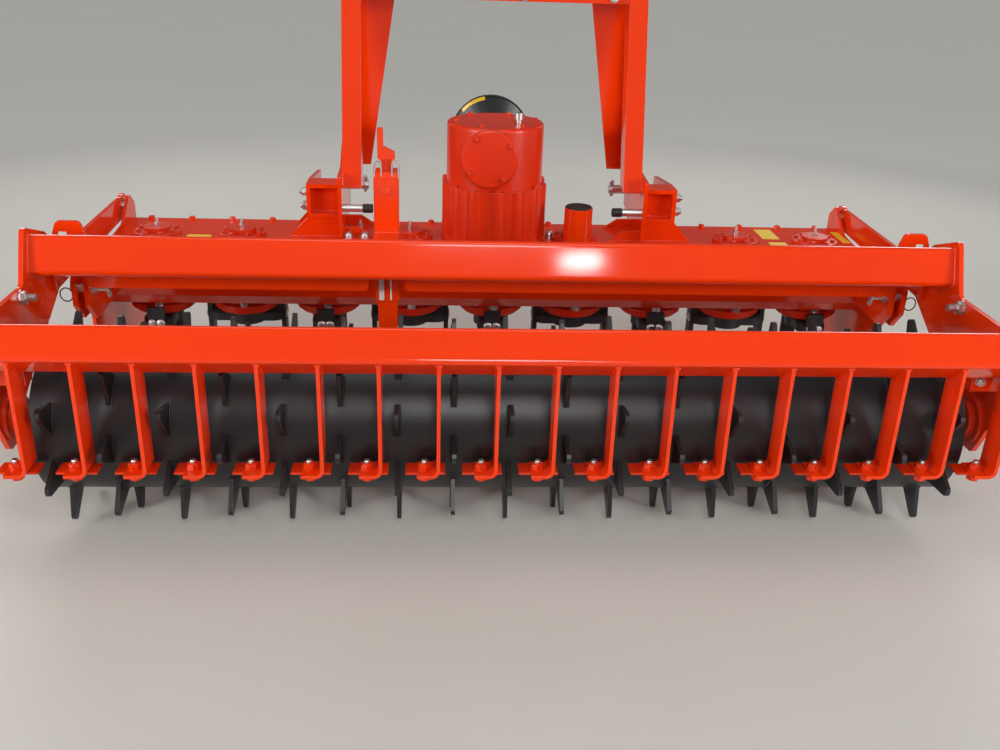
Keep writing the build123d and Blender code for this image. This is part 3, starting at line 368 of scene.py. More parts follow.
def grow(name, tree, base, values, finish, body, smooth=30.0):
    """Runs a tree over a base mesh or curve and keeps the result as a plain mesh that rides on a body."""
    seedling = bpy.data.objects.new(name + "_base", base)
    scene.collection.objects.link(seedling)
    modifier = seedling.modifiers.new("grow", "NODES")
    modifier.node_group = tree
    for item in tree.interface.items_tree:
        if item.in_out == "INPUT" and item.name in values:
            modifier[item.identifier] = values[item.name]
        if item.in_out == "INPUT" and item.name == "Finish":
            modifier[item.identifier] = finish
    bpy.context.view_layer.update()
    evaluated = seedling.evaluated_get(bpy.context.evaluated_depsgraph_get())
    mesh = bpy.data.meshes.new_from_object(evaluated)
    bpy.data.objects.remove(seedling)
    return settle(name, mesh, finish, body, smooth)


def settle(name, mesh, finish, body, smooth=30.0):
    """Gives a finished mesh its finish and its body, with soft shading under an angle."""
    mesh.materials.clear()
    mesh.materials.append(finish)
    mesh.shade_smooth()
    mesh.set_sharp_from_angle(angle=math.radians(smooth))
    piece = bpy.data.objects.new(name, mesh)
    scene.collection.objects.link(piece)
    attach(piece, body)
    print(f"{name}: {len(mesh.polygons)} faces on {body}")
    return piece


# %% The sizes of a fastener
fastener, given = new_tree("fastener", ("Across flats", "Head height", "Washer radius", "Washer thickness",
                                        "Stud radius", "Stud length"))
flats, height = given.outputs["Across flats"], given.outputs["Head height"]
washer_t = given.outputs["Washer thickness"]
CORNER_RADIUS = 1 / math.sqrt(3)
corner = add(fastener, "ShaderNodeMath", {0: flats, 1: CORNER_RADIUS}, operation="MULTIPLY").outputs[0]
half_height = add(fastener, "ShaderNodeMath", {0: height, 1: 0.5}, operation="MULTIPLY").outputs[0]
half_washer = add(fastener, "ShaderNodeMath", {0: washer_t, 1: 0.5}, operation="MULTIPLY").outputs[0]
half_stud = add(fastener, "ShaderNodeMath", {0: given.outputs["Stud length"], 1: 0.5},
                operation="MULTIPLY").outputs[0]
head_z = add(fastener, "ShaderNodeMath", {0: half_height, 1: washer_t}, operation="ADD").outputs[0]
top_z = add(fastener, "ShaderNodeMath", {0: height, 1: washer_t}, operation="ADD").outputs[0]
chamfer = add(fastener, "ShaderNodeMath", {0: height, 1: 0.14}, operation="MULTIPLY").outputs[0]
bottom_r = add(fastener, "ShaderNodeMath", {0: flats, 1: 0.49}, operation="MULTIPLY").outputs[0]
top_r = add(fastener, "ShaderNodeMath", {0: flats, 1: 0.40}, operation="MULTIPLY").outputs[0]

print("sizes in the tree:", len(fastener.nodes), "nodes")

# %% The washer, head, chamfer and stud
parts = []
for kind, sizes, level in (
    ("GeometryNodeMeshCylinder", {"Vertices": 20, "Radius": given.outputs["Washer radius"],
                                  "Depth": washer_t}, half_washer),
    ("GeometryNodeMeshCylinder", {"Vertices": 6, "Radius": corner, "Depth": height}, head_z),
    ("GeometryNodeMeshCone", {"Vertices": 18, "Radius Bottom": bottom_r, "Radius Top": top_r,
                              "Depth": chamfer}, top_z),
    ("GeometryNodeMeshCylinder", {"Vertices": 10, "Radius": given.outputs["Stud radius"],
                                  "Depth": given.outputs["Stud length"]}, half_stud),
):
    solid = add(fastener, kind, sizes).outputs["Mesh"]
    lift = add(fastener, "ShaderNodeCombineXYZ", {"Z": level}).outputs[0]
    parts.append(add(fastener, "GeometryNodeTransform", {"Geometry": solid, "Translation": lift}).outputs[0])
bolt = add(fastener, "GeometryNodeJoinGeometry")
for part in parts:
    fastener.links.new(part, bolt.inputs[0])
print("parts of a fastener:", len(parts))

# %% A fastener on every point
aim = add(fastener, "GeometryNodeInputNamedAttribute", {"Name": "aim"}, data_type="FLOAT_VECTOR")
stand = add(fastener, "FunctionNodeAlignRotationToVector", {"Vector": aim.outputs[0]}, axis="Z")
SIXTH_TURN = 1.047
chance = add(fastener, "FunctionNodeRandomValue", {2: 0.0, 3: SIXTH_TURN, "Seed": given.outputs["Seed"]},
             data_type="FLOAT")
twist = add(fastener, "FunctionNodeEulerToRotation",
            {0: add(fastener, "ShaderNodeCombineXYZ", {"Z": chance.outputs[1]}).outputs[0]})
turned = add(fastener, "FunctionNodeRotateRotation", {0: stand.outputs[0], 1: twist.outputs[0]},
             rotation_space="LOCAL")
row = add(fastener, "GeometryNodeInstanceOnPoints", {
    "Points": given.outputs["Geometry"], "Instance": bolt.outputs[0], "Rotation": turned.outputs[0]})
close_tree(fastener, row.outputs[0], given)
print("fastener tree:", len(fastener.nodes), "nodes")

# %% Helpers that place fasteners


def points_with_aim(places, directions):
    """A mesh of loose points that know which way their fastener stands."""
    cloud = bpy.data.meshes.new("places")
    cloud.from_pydata([tuple(p) for p in places], [], [])
    aim = cloud.attributes.new("aim", "FLOAT_VECTOR", "POINT")
    aim.data.foreach_set("vector", [v for d in directions for v in d])
    return cloud


# Bolt sizes by thread: across flats, head height, washer radius, washer thickness, stud radius, in mm.
BOLT = {
    "M8": (13.0, 5.5, 8.0, 1.6, 4.0),
    "M10": (17.0, 6.5, 10.0, 2.0, 5.0),
    "M12": (19.0, 7.5, 12.0, 2.5, 6.0),
    "M14": (22.0, 9.0, 14.0, 2.5, 7.0),
    "M16": (24.0, 10.0, 15.0, 3.0, 8.0),
    "M20": (30.0, 12.5, 18.5, 3.0, 10.0),
}


def bolts(name, thread, places, directions, finish, body, stud=0.0, seed=1):
    """A set of bolts or nuts of one size. With a stud length it is a nut on a stud, else a bolt head."""
    flats, head, washer, thick, radius = BOLT[thread]
    values = {"Across flats": mm(flats), "Head height": mm(head), "Washer radius": mm(washer),
              "Washer thickness": mm(thick), "Stud radius": mm(radius),
              "Stud length": mm(stud if stud else 0.5), "Seed": seed}
    return grow(name, fastener, points_with_aim(places, directions), values, finish, body)


def ring(centre, radius, count, start=0.0, axis="Z"):
    """Places round a circle, for bolts on a flange."""
    places = []
    for i in range(count):
        angle = math.radians(start + 360 * i / count)
        a, b = mm(radius) * math.cos(angle), mm(radius) * math.sin(angle)
        offset = {"Z": (a, b, 0), "Y": (a, 0, b), "X": (0, a, b)}[axis]
        places.append(Vector(centre) + Vector(offset))
    return places


UP, DOWN, BACK, FRONT = Vector((0, 0, 1)), Vector((0, 0, -1)), Vector((0, -1, 0)), Vector((0, 1, 0))
LEFT, RIGHT = Vector((-1, 0, 0)), Vector((1, 0, 0))
print("bolt sizes:", ", ".join(BOLT))

# %% [markdown]
# ## Bolts of the rotors' bearings
# Each rotor's shaft has a bearing above, under a round cap on the lid, and one below in a housing with a
# wide flange. Both are bolted down in a circle. Under the gearbox and the link boxes the caps are covered.

# %% Bolts of the bearing caps on the lid
lid_low, lid_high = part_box("trough_lid")
CAP_BOSS_HEIGHT, CAP_CIRCLE = 13, 55
GEARBOX_HALF, LINKS_INNER, LINKS_OUTER = 200, 360, 700
cap_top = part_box("bearing_caps")[1].z
cap_x = [x for x in rotor_x if GEARBOX_HALF < abs(x) < LINKS_INNER or abs(x) > LINKS_OUTER]
places = [p for x in cap_x
          for p in ring((mm(x), ROTOR_LINE, cap_top - mm(CAP_BOSS_HEIGHT)), CAP_CIRCLE, 8, 22.5)]
bolts("cap_bolts", "M8", places, [UP] * len(places), red_casting, "frame", seed=3)

# %% Bolts round the bearing housings
FLANGE_RISE, FLANGE_CIRCLE = 26, 85
flange_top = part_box("bearing_housings")[0].z + mm(FLANGE_RISE)
places = [p for x in rotor_x for p in ring((mm(x), ROTOR_LINE, flange_top), FLANGE_CIRCLE, 6, 34)]
bolts("housing_nuts", "M14", places, [UP] * len(places), zinc, "frame", stud=24, seed=5)

# %% [markdown]
# ## Bolts of the gearbox
# The gearbox is three castings clamped together. Cap screws hold the drum to the base all round, a ring of
# screws holds the bearing cover, and the lid on top has its own ring. They were painted with the casting,
# so they wear the same enamel and only their shape shows.

# %% Gearbox screws
TOP_CIRCLE, BASE_CIRCLE, COVER_INSET = 118, 149, 13
base_low, base_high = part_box("gearbox_base")
cover_low, cover_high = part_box("gearbox_cover")
box_x = (base_low.x + base_high.x) / 2
cover_middle = (cover_low + cover_high) / 2
cover_circle = (cover_high.x - cover_low.x) * 500 - COVER_INSET
screws = [
    ("top_screws", ring((box_x, ROTOR_LINE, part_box("gearbox_drum")[1].z), TOP_CIRCLE, 6, 8), UP),
    ("base_screws", ring((box_x, ROTOR_LINE, base_high.z), BASE_CIRCLE, 7, 270), UP),
    ("cover_screws", ring((cover_middle.x, cover_low.y, cover_middle.z), cover_circle, 4, 34, "Y"), BACK),
]
for name, places, aim in screws:
    bolts(name, "M8", places, [aim] * len(places), red_casting, "frame", seed=7)

# %% [markdown]
# ## Bolts along the trough
# The trough is a long oil bath for the gears that pass the drive from rotor to rotor. Its lid is screwed
# down every hand's width along both edges, and its ends are closed by the end plates.

# %% Lid and end plate screws
# No screw stands where the feet of the link boxes cover the lid's front edge.
LID_PITCH, LID_EDGE = 125, 10
FEET_INNER, FEET_OUTER = 395, 620
edge_y = (lid_low.y + mm(LID_EDGE), lid_high.y - mm(LID_EDGE))
count = int((lid_high.x - lid_low.x) * 1000 // LID_PITCH)
lid_x = [(i - (count - 1) / 2) * mm(LID_PITCH) for i in range(count)]
places = [Vector((x, y, lid_high.z)) for x in lid_x for y in edge_y
          if not (mm(FEET_INNER) < abs(x) < mm(FEET_OUTER) and y > ROTOR_LINE)]
bolts("lid_screws", "M10", places, [UP] * len(places), red_steel, "frame", seed=11)

LOW_ROW, HIGH_ROW, PLATE_BOLT_Y = 52, 22, (-120, -40, 40, 120)
plate_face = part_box("end_plates")[1].x
plate_rows = (trough_low.z + mm(LOW_ROW), trough_high.z - mm(HIGH_ROW))
places, aims = [], []
for side in (-1, 1):
    for y in PLATE_BOLT_Y:
        for z in plate_rows:
            places.append(Vector((side * plate_face, ROTOR_LINE + mm(y), z)))
            aims.append(RIGHT * side)
bolts("end_plate_bolts", "M12", places, aims, zinc, "frame", seed=13)

# %% [markdown]
# ## Bolts of the roller frame
# Each side plate carries the roller's bearing on four bolts and the arm on two. Their heads are on the
# outside, low and domed, so that nothing catches on them. Here are only their places. The heads are turned
# from a profile further down, where the helper for that is made.

# %% Places of the side plate bolts
side_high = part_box("side_plates")[1]
roller_low, roller_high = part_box("packer_roller")
axle = Vector((0, (roller_low.y + roller_high.y) / 2, (roller_low.z + roller_high.z) / 2))
BEARING_CIRCLE = 48
bearing_places, bearing_aims = [], []
for side in (-1, 1):
    bearing_places += ring((side * side_high.x, axle.y, axle.z), BEARING_CIRCLE, 4, 45, "X")
    bearing_aims += [RIGHT * side] * 4
print("bearing bolts:", len(bearing_places))

# %% [markdown]
# ## Weld beads
# Where a tube meets a plate, a welder lays a bead of molten wire in the corner. The torch weaves as it
# goes, so the bead has a ripple every couple of millimetres, like a row of fallen coins. A tree makes it
# from a path: the path is cut into short steps, its radius swells and shrinks along its length, and a
# small circle is swept over it. Half of the bead sinks into the corner, as a real one does.

# %% The bead tree
bead_tree, given = new_tree("bead", ("Radius", "Ripple", "Step"))
steps = add(bead_tree, "GeometryNodeResampleCurve", {"Curve": given.outputs["Geometry"],
                                                     "Length": given.outputs["Step"]}, mode="LENGTH")
travel = add(bead_tree, "GeometryNodeSplineParameter").outputs["Length"]
waves = add(bead_tree, "ShaderNodeMath", {0: travel, 1: given.outputs["Ripple"]},
            operation="DIVIDE").outputs[0]
phase = add(bead_tree, "ShaderNodeMath", {0: waves, 1: 2 * math.pi}, operation="MULTIPLY").outputs[0]
swing = add(bead_tree, "ShaderNodeMath", {0: phase}, operation="SINE").outputs[0]
chance = add(bead_tree, "FunctionNodeRandomValue", {2: 0.92, 3: 1.12, "Seed": given.outputs["Seed"]},
             data_type="FLOAT").outputs[1]
swell = add(bead_tree, "ShaderNodeMath", {0: swing, 1: 0.16, 2: chance}, operation="MULTIPLY_ADD").outputs[0]
section = add(bead_tree, "GeometryNodeCurvePrimitiveCircle", {
    "Resolution": 7, "Radius": given.outputs["Radius"]}, mode="RADIUS")
sweep = add(bead_tree, "GeometryNodeCurveToMesh", {
    "Curve": steps.outputs[0], "Profile Curve": section.outputs[0], "Scale": swell, "Fill Caps": True})
close_tree(bead_tree, sweep.outputs[0], given)
print("bead tree:", len(bead_tree.nodes), "nodes")

# %% Helpers that lay beads


def paths(lines, kind="POLY"):
    """A curve object's data with one path for each list of points, straight-edged or smooth."""
    curve = bpy.data.curves.new("paths", "CURVE")
    curve.dimensions = "3D"
    for points in lines:
        spline = curve.splines.new(kind)
        spline.points.add(len(points) - 1)
        for point, place in zip(spline.points, points):
            point.co = (*place, 1)
    return curve


def welds(name, lines, radius, body, finish=None, step=1.6, ripple=4.2, seed=1):
    """Beads along lines of points. The radius, the step and the ripple's length are in millimetres."""
    values = {"Radius": mm(radius), "Ripple": mm(ripple), "Step": mm(step), "Seed": seed}
    return grow(name, bead_tree, paths(lines), values, finish or red_steel, body, smooth=60)


def box_section(middle_y, middle_z, size, tilt, corner, x):
    """The outline of a tilted square tube at one place along X, as a closed line of points."""
    half = size / 2 - corner
    points = []
    for quarter in range(4):
        centre = Matrix.Rotation(math.radians(90 * quarter), 2) @ Vector((half, half))
        for i in range(7):
            angle = math.radians(90 * quarter + 15 * i)
            points.append(centre + Vector((math.cos(angle), math.sin(angle))) * corner)
    spin = Matrix.Rotation(math.radians(-tilt), 2)
    points = [spin @ p for p in points]
    points.append(points[0])
    return [spot(x, middle_y + p.x, middle_z + p.y) for p in points]


# %% [markdown]
# ## Beads of the roller frame's beams and of the teeth
# Both beams are square tubes set at a slant, welded all round to the side plates. Each tooth is welded along
# both sides of its root, on the curve of the drum, and painted over with the drum.

# %% Welds of the beams
EDGE, BEAD_INSET = 0.5, 1.5
UPPER_BEAM = {"middle_y": -520, "middle_z": 549, "size": 100, "tilt": 20, "corner": 14}
REAR_BEAM = {"middle_y": -990, "middle_z": 497, "size": 82, "tilt": 41, "corner": 10}
SIDE_PLATE = 12
plate_inner = side_high.x * 1000 - SIDE_PLATE
lines = [box_section(x=side * (plate_inner - BEAD_INSET), **beam) for beam in (UPPER_BEAM, REAR_BEAM)
         for side in (-1, 1)]
welds("beam_welds", lines, 4.0, "roller_frame", seed=23)

# %% Welds of the teeth
TEETH, RINGS, RING_PITCH = 8, 17, 126.5
DRUM_RADIUS, ROOT_HALF, TOOTH_HALF, STEPS_OUT = 170, 36, 5, 3
lines = []
for i in range(RINGS):
    for k in range(TEETH):
        angle = math.radians(180 + 360 / TEETH * (k + 0.5 * ((i + 1) % 2)))
        out = Vector((0, math.sin(angle), math.cos(angle)))
        round_drum = Vector((0, math.cos(angle), -math.sin(angle)))
        for face in (-1, 1):
            x = mm((i - RINGS // 2) * RING_PITCH + face * (TOOTH_HALF + EDGE))
            line = []
            for t in range(-STEPS_OUT, STEPS_OUT + 1):
                sweep_angle = t / STEPS_OUT * ROOT_HALF / DRUM_RADIUS
                spoke = out * math.cos(sweep_angle) + round_drum * math.sin(sweep_angle)
                line.append(Vector((x, axle.y, axle.z)) + spoke * mm(DRUM_RADIUS))
            lines.append(line)
welds("tooth_welds", lines, 2.6, "packer_roller", finish=black_satin, step=4.0, ripple=9,
      seed=29)

# %% [markdown]
# ## Turned and bent small parts
# Grease nipples, ring pins and linch pins are turned or bent from wire. A turned part is a profile spun
# round an axis, and a bent one is a circle swept along a smooth path. Each helper returns a closed mesh
# with its faces pointing outwards.

# %% Helpers for turned and bent parts


def closed_mesh(shape):
    """The mesh of a working shape, with its faces pointing outwards."""
    bmesh.ops.recalc_face_normals(shape, faces=shape.faces)
    mesh = bpy.data.meshes.new("closed")
    shape.to_mesh(mesh)
    shape.free()
    return mesh


def turned_part(profile, places, directions, sides=20):
    """One mesh with a turned shape at each place. The profile is a list of (radius, height) in mm."""
    shape = bmesh.new()
    for place, direction in zip(places, directions):
        stand = Matrix.Translation(place) @ direction.to_track_quat("Z", "Y").to_matrix().to_4x4()
        rings = []
        for radius, height in profile:
            if radius == 0:
                rings.append([shape.verts.new(stand @ Vector((0, 0, mm(height))))])
                continue
            rings.append([shape.verts.new(stand @ Vector((
                mm(radius) * math.cos(2 * math.pi * k / sides),
                mm(radius) * math.sin(2 * math.pi * k / sides), mm(height)))) for k in range(sides)])
        for low, high in zip(rings, rings[1:]):
            for k in range(sides):
                n = (k + 1) % sides
                corners = [low[k % len(low)], low[n % len(low)], high[n % len(high)], high[k % len(high)]]
                shape.faces.new(list(dict.fromkeys(corners)))
    return closed_mesh(shape)


def bent_part(lines, radius, closed=False):
    """Round wire swept along one or more smooth paths, as one mesh."""
    curve = paths(lines, "NURBS")
    curve.bevel_depth = mm(radius)
    curve.bevel_resolution = 3
    curve.resolution_u = 6
    curve.use_fill_caps = True
    for spline in curve.splines:
        spline.order_u = 3
        spline.use_endpoint_u = not closed
        spline.use_cyclic_u = closed
    bender = bpy.data.objects.new("bender", curve)
    scene.collection.objects.link(bender)
    mesh = bpy.data.meshes.new_from_object(bender.evaluated_get(bpy.context.evaluated_depsgraph_get()))
    bpy.data.objects.remove(bender)
    return mesh


print("helpers: closed mesh, turned part and bent part")

# %% [markdown]
# ## Bolts of the scrapers
# A scraper wears away and is set closer from time to time, so each sits on its bent arm with one large bolt.
# The nut was painted over with the arm, and only the end of the thread stayed bare.

# %% Scraper bolts
# The sides of each blade, from left to right, are read from the CAD piece. Its middle lies between them.
edges = sorted({round(vertex.co.x, 4) for vertex in nodes["scraper_blades"].data.vertices})
blade_x = [(a + b) / 2 for a, b in zip(edges[::2], edges[1::2])]
blade_low, blade_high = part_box("scraper_blades")
FOOT_THICKNESS, OFF_CENTRE = 8, 2
clamp_y = sum(corner.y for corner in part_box("scraper_arms")) / 2 + mm(OFF_CENTRE)
tops = [Vector((x - mm(OFF_CENTRE), clamp_y, blade_high.z + mm(FOOT_THICKNESS))) for x in blade_x]
lows = [Vector((x - mm(OFF_CENTRE), clamp_y, blade_low.z)) for x in blade_x]
bolts("scraper_nuts", "M16", tops, [UP] * len(tops), red_steel, "roller_frame", seed=19)
bolts("scraper_heads", "M16", lows, [DOWN] * len(lows), red_steel, "roller_frame", seed=20)
STUD = [(0, 0), (7.2, 0), (7.2, 5), (6.0, 7), (0, 7)]
NUT_TOP = 15
stud_mesh = turned_part(STUD, [p + UP * mm(NUT_TOP) for p in tops], [UP] * len(tops), 12)
settle("scraper_studs", stud_mesh, zinc, "roller_frame")
print("scraper blades at x mm:", [round(x * 1000) for x in blade_x])

# %% [markdown]
# ## Grease nipples
# Each bearing cap has a nipple on a short riser, where the grease gun clips on behind the round nose. It is
# turned on a lathe, so its profile is all that it needs.

# %% Grease nipples
NIPPLE = [(0, 0), (7.5, 0), (7.5, 9), (5.5, 10), (5.5, 18), (4, 19.5), (3, 21), (4.4, 24), (2.6, 27.5),
          (0, 28)]
cap_tops = [Vector((mm(x), ROTOR_LINE, cap_top)) for x in cap_x]
settle("cap_nipples", turned_part(NIPPLE, cap_tops, [UP] * len(cap_tops)), zinc, "frame")

# %% [markdown]
# ## Small steel on the trough lid
# Behind the gearbox, a few bright nuts hold the pipework clamps and the gear cassette to the lid. They were
# fitted after the paint, so they stay silver on the red.

# %% Lid nuts and nipples
LID_Z = lid_high.z * 1000
CAP_NUT = [(0, 0), (15, 0), (15, 3), (12, 3), (12, 12), (9.5, 17), (5.5, 20), (0, 21)]
LID_NUTS = [(-434, -12), (-386, -12), (-257, 10), (176, 30)]
LID_NIPPLES = [(-330, 41), (-407, 100)]
on_lid = [("lid_nuts", CAP_NUT, LID_NUTS, 18), ("lid_nipples", NIPPLE, LID_NIPPLES, 20)]
for name, profile, places, sides in on_lid:
    mesh = turned_part(profile, [spot(x, y, LID_Z) for x, y in places], [UP] * len(places), sides)
    settle(name, mesh, zinc, "frame")

# %% [markdown]
# ## Blank yellow film
# Makers put yellow notices on the lid and on the shaft guard. Here they are blank. A notice is a thin film,
# so it needs only a sheet a fraction of a millimetre thick with rounded corners. On the guard the sheet is
# bent round the cone: each of its points keeps its angle and moves out to the cone's surface.

# %% Make the two films


def vinyl(name, faded, fresh, patches, roughness):
    """Self-adhesive film: a plain colour, faded in patches so many to the metre, under a dull gloss."""
    finish, tree = new_finish(name)
    place = add(tree, "ShaderNodeTexCoord").outputs["Object"]
    fade = add(tree, "ShaderNodeTexNoise", {"Vector": place, "Scale": patches, "Detail": 3.0})
    tone = add(tree, "ShaderNodeMix", {"Factor": fade.outputs["Fac"], 6: colour(faded), 7: colour(fresh)},
               data_type="RGBA")
    sheet = add(tree, "ShaderNodeBsdfPrincipled", {"Base Color": tone.outputs[2], "Roughness": roughness})
    add(tree, "ShaderNodeOutputMaterial", {"Surface": sheet.outputs[0]})
    return finish


film = vinyl("yellow vinyl film, blank", "#EFC11A", "#F5CC2E", 24.0, 0.34)
paper = vinyl("white film, blank", "#D8D6CF", "#E4E2DC", 30.0, 0.40)
print("made", film.name, "and", paper.name)

# %% Helpers for flat parts


def flat_part(outline, thickness, place, across, along):
    """A plate cut to an outline of (u, v) points in mm, lying at a place, u and v along two directions."""
    normal = across.cross(along).normalized()
    shape = bmesh.new()
    low = [shape.verts.new(place + across * mm(u) + along * mm(v)) for u, v in outline]
    face = shape.faces.new(low)
    body = bmesh.ops.extrude_face_region(shape, geom=[face])
    for vertex in [g for g in body["geom"] if isinstance(g, bmesh.types.BMVert)]:
        vertex.co += normal * mm(thickness)
    return closed_mesh(shape)


def joined(meshes):
    """Several meshes as one."""
    shape = bmesh.new()
    for mesh in meshes:
        shape.from_mesh(mesh)
    whole = bpy.data.meshes.new("joined")
    shape.to_mesh(whole)
    shape.free()
    return whole


def rounded(u0, u1, v0, v1, radius, steps=4):
    """The outline of a rectangle with rounded corners, as (u, v) points."""
    points = []
    for cu, cv, start in ((u1, v1, 0), (u0, v1, 90), (u0, v0, 180), (u1, v0, 270)):
        mu = cu - math.copysign(radius, cu - (u0 + u1) / 2)
        mv = cv - math.copysign(radius, cv - (v0 + v1) / 2)
        for i in range(steps + 1):
            angle = math.radians(start + 90 * i / steps)
            points.append((mu + radius * math.cos(angle), mv + radius * math.sin(angle)))
    return points


print("a rounded film has", len(rounded(0, 20, 0, 10, 3)), "corners")

# %% Film on the lid
# Left, right, rear and front edge of each, in mm from the machine's middle and from the rotors.
lid_film = [(-913, -842, -25, 3), (854, 908, 46, 155), (859, 913, -40, 11), (1101, 1126, 14, 137)]
FILM_THICKNESS = 0.4
sheets = [flat_part(rounded(x0, x1, y0, y1, 3), FILM_THICKNESS, spot(0, 0, LID_Z), RIGHT, FRONT)
          for x0, x1, y0, y1 in lid_film]
settle("lid_film", joined(sheets), film, "frame")

# %% Film and rim of the shaft guard
guard_low, guard_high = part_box("input_guard")
GUARD_AXIS = (guard_low.z + guard_high.z) * 500
GUARD_MOUTH = (guard_high.y - ROTOR_LINE) * 1000
GUARD_BACK = (guard_low.y - ROTOR_LINE) * 1000
MOUTH_RADIUS = (guard_high.x - guard_low.x) * 500
BACK_RADIUS = 86


def on_guard(degrees, y, out=0.0):
    """A point on the guard's cone. The angle runs from the top, to the right seen from behind."""
    share = (y - GUARD_BACK) / (GUARD_MOUTH - GUARD_BACK)
    radius = BACK_RADIUS + (MOUTH_RADIUS - BACK_RADIUS) * share + out
    angle = math.radians(degrees)
    return spot(radius * math.sin(angle), y, GUARD_AXIS + radius * math.cos(angle))


FILM_SECTION = ((270, 0), (299, 0), (299, 0.5), (270, 0.5))
shape = bmesh.new()
columns_of_film = [[shape.verts.new(on_guard(a, y, out)) for y, out in FILM_SECTION]
                   for a in range(-50, -9, 4)]
for one, two in zip(columns_of_film, columns_of_film[1:]):
    for i in range(4):
        shape.faces.new([one[i], two[i], two[(i + 1) % 4], one[(i + 1) % 4]])
shape.faces.new(columns_of_film[0])
shape.faces.new(columns_of_film[-1])
settle("guard_film", closed_mesh(shape), film, "frame")

rim = [on_guard(a, GUARD_MOUTH - 3, 1.0) for a in range(0, 360, 10)]
settle("guard_rim", bent_part([rim], 3.2, closed=True), moulded, "frame")

# %% [markdown]
# ## The levelling board's adjuster
# The board behind the tines is set by a threaded spindle inside an upright tube. Two wire clips at the top
# keep the spindle from turning by itself, a small screw keeps its nut in place, and a blank white scale
# shows where the board stands.

# %% Adjuster clips, screw and scale
tube_low, tube_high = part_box("board_adjuster")
TUBE_X = (tube_low.x + tube_high.x) * 500
TUBE_DEPTH = 64
TUBE_REAR = (tube_high.y - ROTOR_LINE) * 1000 - TUBE_DEPTH
# One clip, seen from behind: how far right, how far forward of the tube's rear face, and how high, in mm.
CLIP = [(-9, 6, 738), (-10, 5, 762), (-7, 4, 780), (0, 4, 786), (7, 4, 780), (9, 5, 762), (8, 6, 738)]
clips = [[spot(clip_x + x, TUBE_REAR + y + offset, z) for x, y, z in CLIP]
         for clip_x in (TUBE_X - 20, TUBE_X + 24) for offset in (-3, 5)]
settle("adjuster_clips", bent_part(clips, 2.0), zinc, "roller_frame")
bolts("adjuster_screw", "M10", [spot(TUBE_X - 1, TUBE_REAR, 706)], [BACK], red_steel, "roller_frame",
      seed=37)

SCALE_LOW, SCALE_HIGH = 415, 471
scales = [flat_part(rounded(x0, x1, SCALE_LOW, SCALE_HIGH, 1.4), FILM_THICKNESS, spot(0, TUBE_REAR, 0),
                    RIGHT, UP) for x0, x1 in ((TUBE_X - 22, TUBE_X - 9), (TUBE_X + 7, TUBE_X + 11))]
settle("adjuster_scale", joined(scales), paper, "roller_frame")

# %% [markdown]
# ## Pins of the hitch
# The tractor's lower links slip over the bright pins, and a sprung linch pin through each free end keeps
# them on. A second pin with a black grip locks each box. A linch pin is a short peg with a ring of wire
# that snaps over it: the peg is turned and the ring is bent.

# %% Linch pins and box pins
PEG = [(0, -24), (3.4, -22), (4.4, -18), (4.4, 14), (7.5, 16), (7.5, 27), (5.5, 30), (0, 30)]
GRIP = [(0, 0), (12.5, 1), (14, 4), (13, 10), (14, 16), (13, 22), (14, 27), (12, 31), (0, 32)]
BOX_PIN = [(0, 0), (10.5, 1), (11, 3), (11, 62), (0, 62)]
pins_low, pins_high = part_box("link_pins")
LINK_PIN_Z = (pins_low.z + pins_high.z) * 500
LINK_PIN_Y = ((pins_low.y + pins_high.y) / 2 - ROTOR_LINE) * 1000
PEG_X, RING_X = 398, 402
BOX_PIN_X, GRIP_X, BOX_PIN_Y, BOX_PIN_Z = 388, 390, -10, 548


def wire_ring(x, y, z, half_width, half_height, along="Y"):
    """A closed ring of wire round a place, upright, its width along X or Y, in millimetres."""
    points = []
    for a in range(0, 360, 30):
        across = half_width * math.sin(math.radians(a))
        rise = half_height * math.cos(math.radians(a))
        points.append(spot(x, y + across, z + rise) if along == "Y" else spot(x + across, y, z + rise))
    return points


pegs, loops, grips, box_pins = [], [], [], []
for side in (-1, 1):
    pegs.append(turned_part(PEG, [spot(side * PEG_X, LINK_PIN_Y, LINK_PIN_Z)], [UP], 14))
    loops.append(wire_ring(side * RING_X, LINK_PIN_Y, LINK_PIN_Z + 4, 19, 24))
    box_pins.append(turned_part(BOX_PIN, [spot(side * BOX_PIN_X, BOX_PIN_Y, BOX_PIN_Z)], [RIGHT * side], 18))
    grips.append(turned_part(GRIP, [spot(side * GRIP_X, BOX_PIN_Y, BOX_PIN_Z)], [LEFT * side], 18))
settle("linch_pegs", joined(pegs), zinc, "frame")
settle("linch_rings", bent_part(loops, 1.8, closed=True), zinc, "frame")
settle("box_pins", joined(box_pins), zinc, "frame")
settle("box_pin_grips", joined(grips), moulded, "frame")
FEET_REACH, CHEEK_Y, CHEEK_Z = 54, 16, (548, 590)
cheek_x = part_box("link_boxes")[1].x * 1000 - FEET_REACH
places = [spot(side * cheek_x, CHEEK_Y, z) for side in (-1, 1) for z in CHEEK_Z]
bolts("cheek_bolts", "M16", places, [LEFT, LEFT, RIGHT, RIGHT], zinc, "frame", stud=20, seed=67)

# %% [markdown]
# ## The depth pins' fittings
# The pin behind each end of the trough sets how deep the tines work. A crossbar welded to it gives the hand
# a hold, a spring cotter keeps it in, and a stiff ring of black wire snaps over its other end.

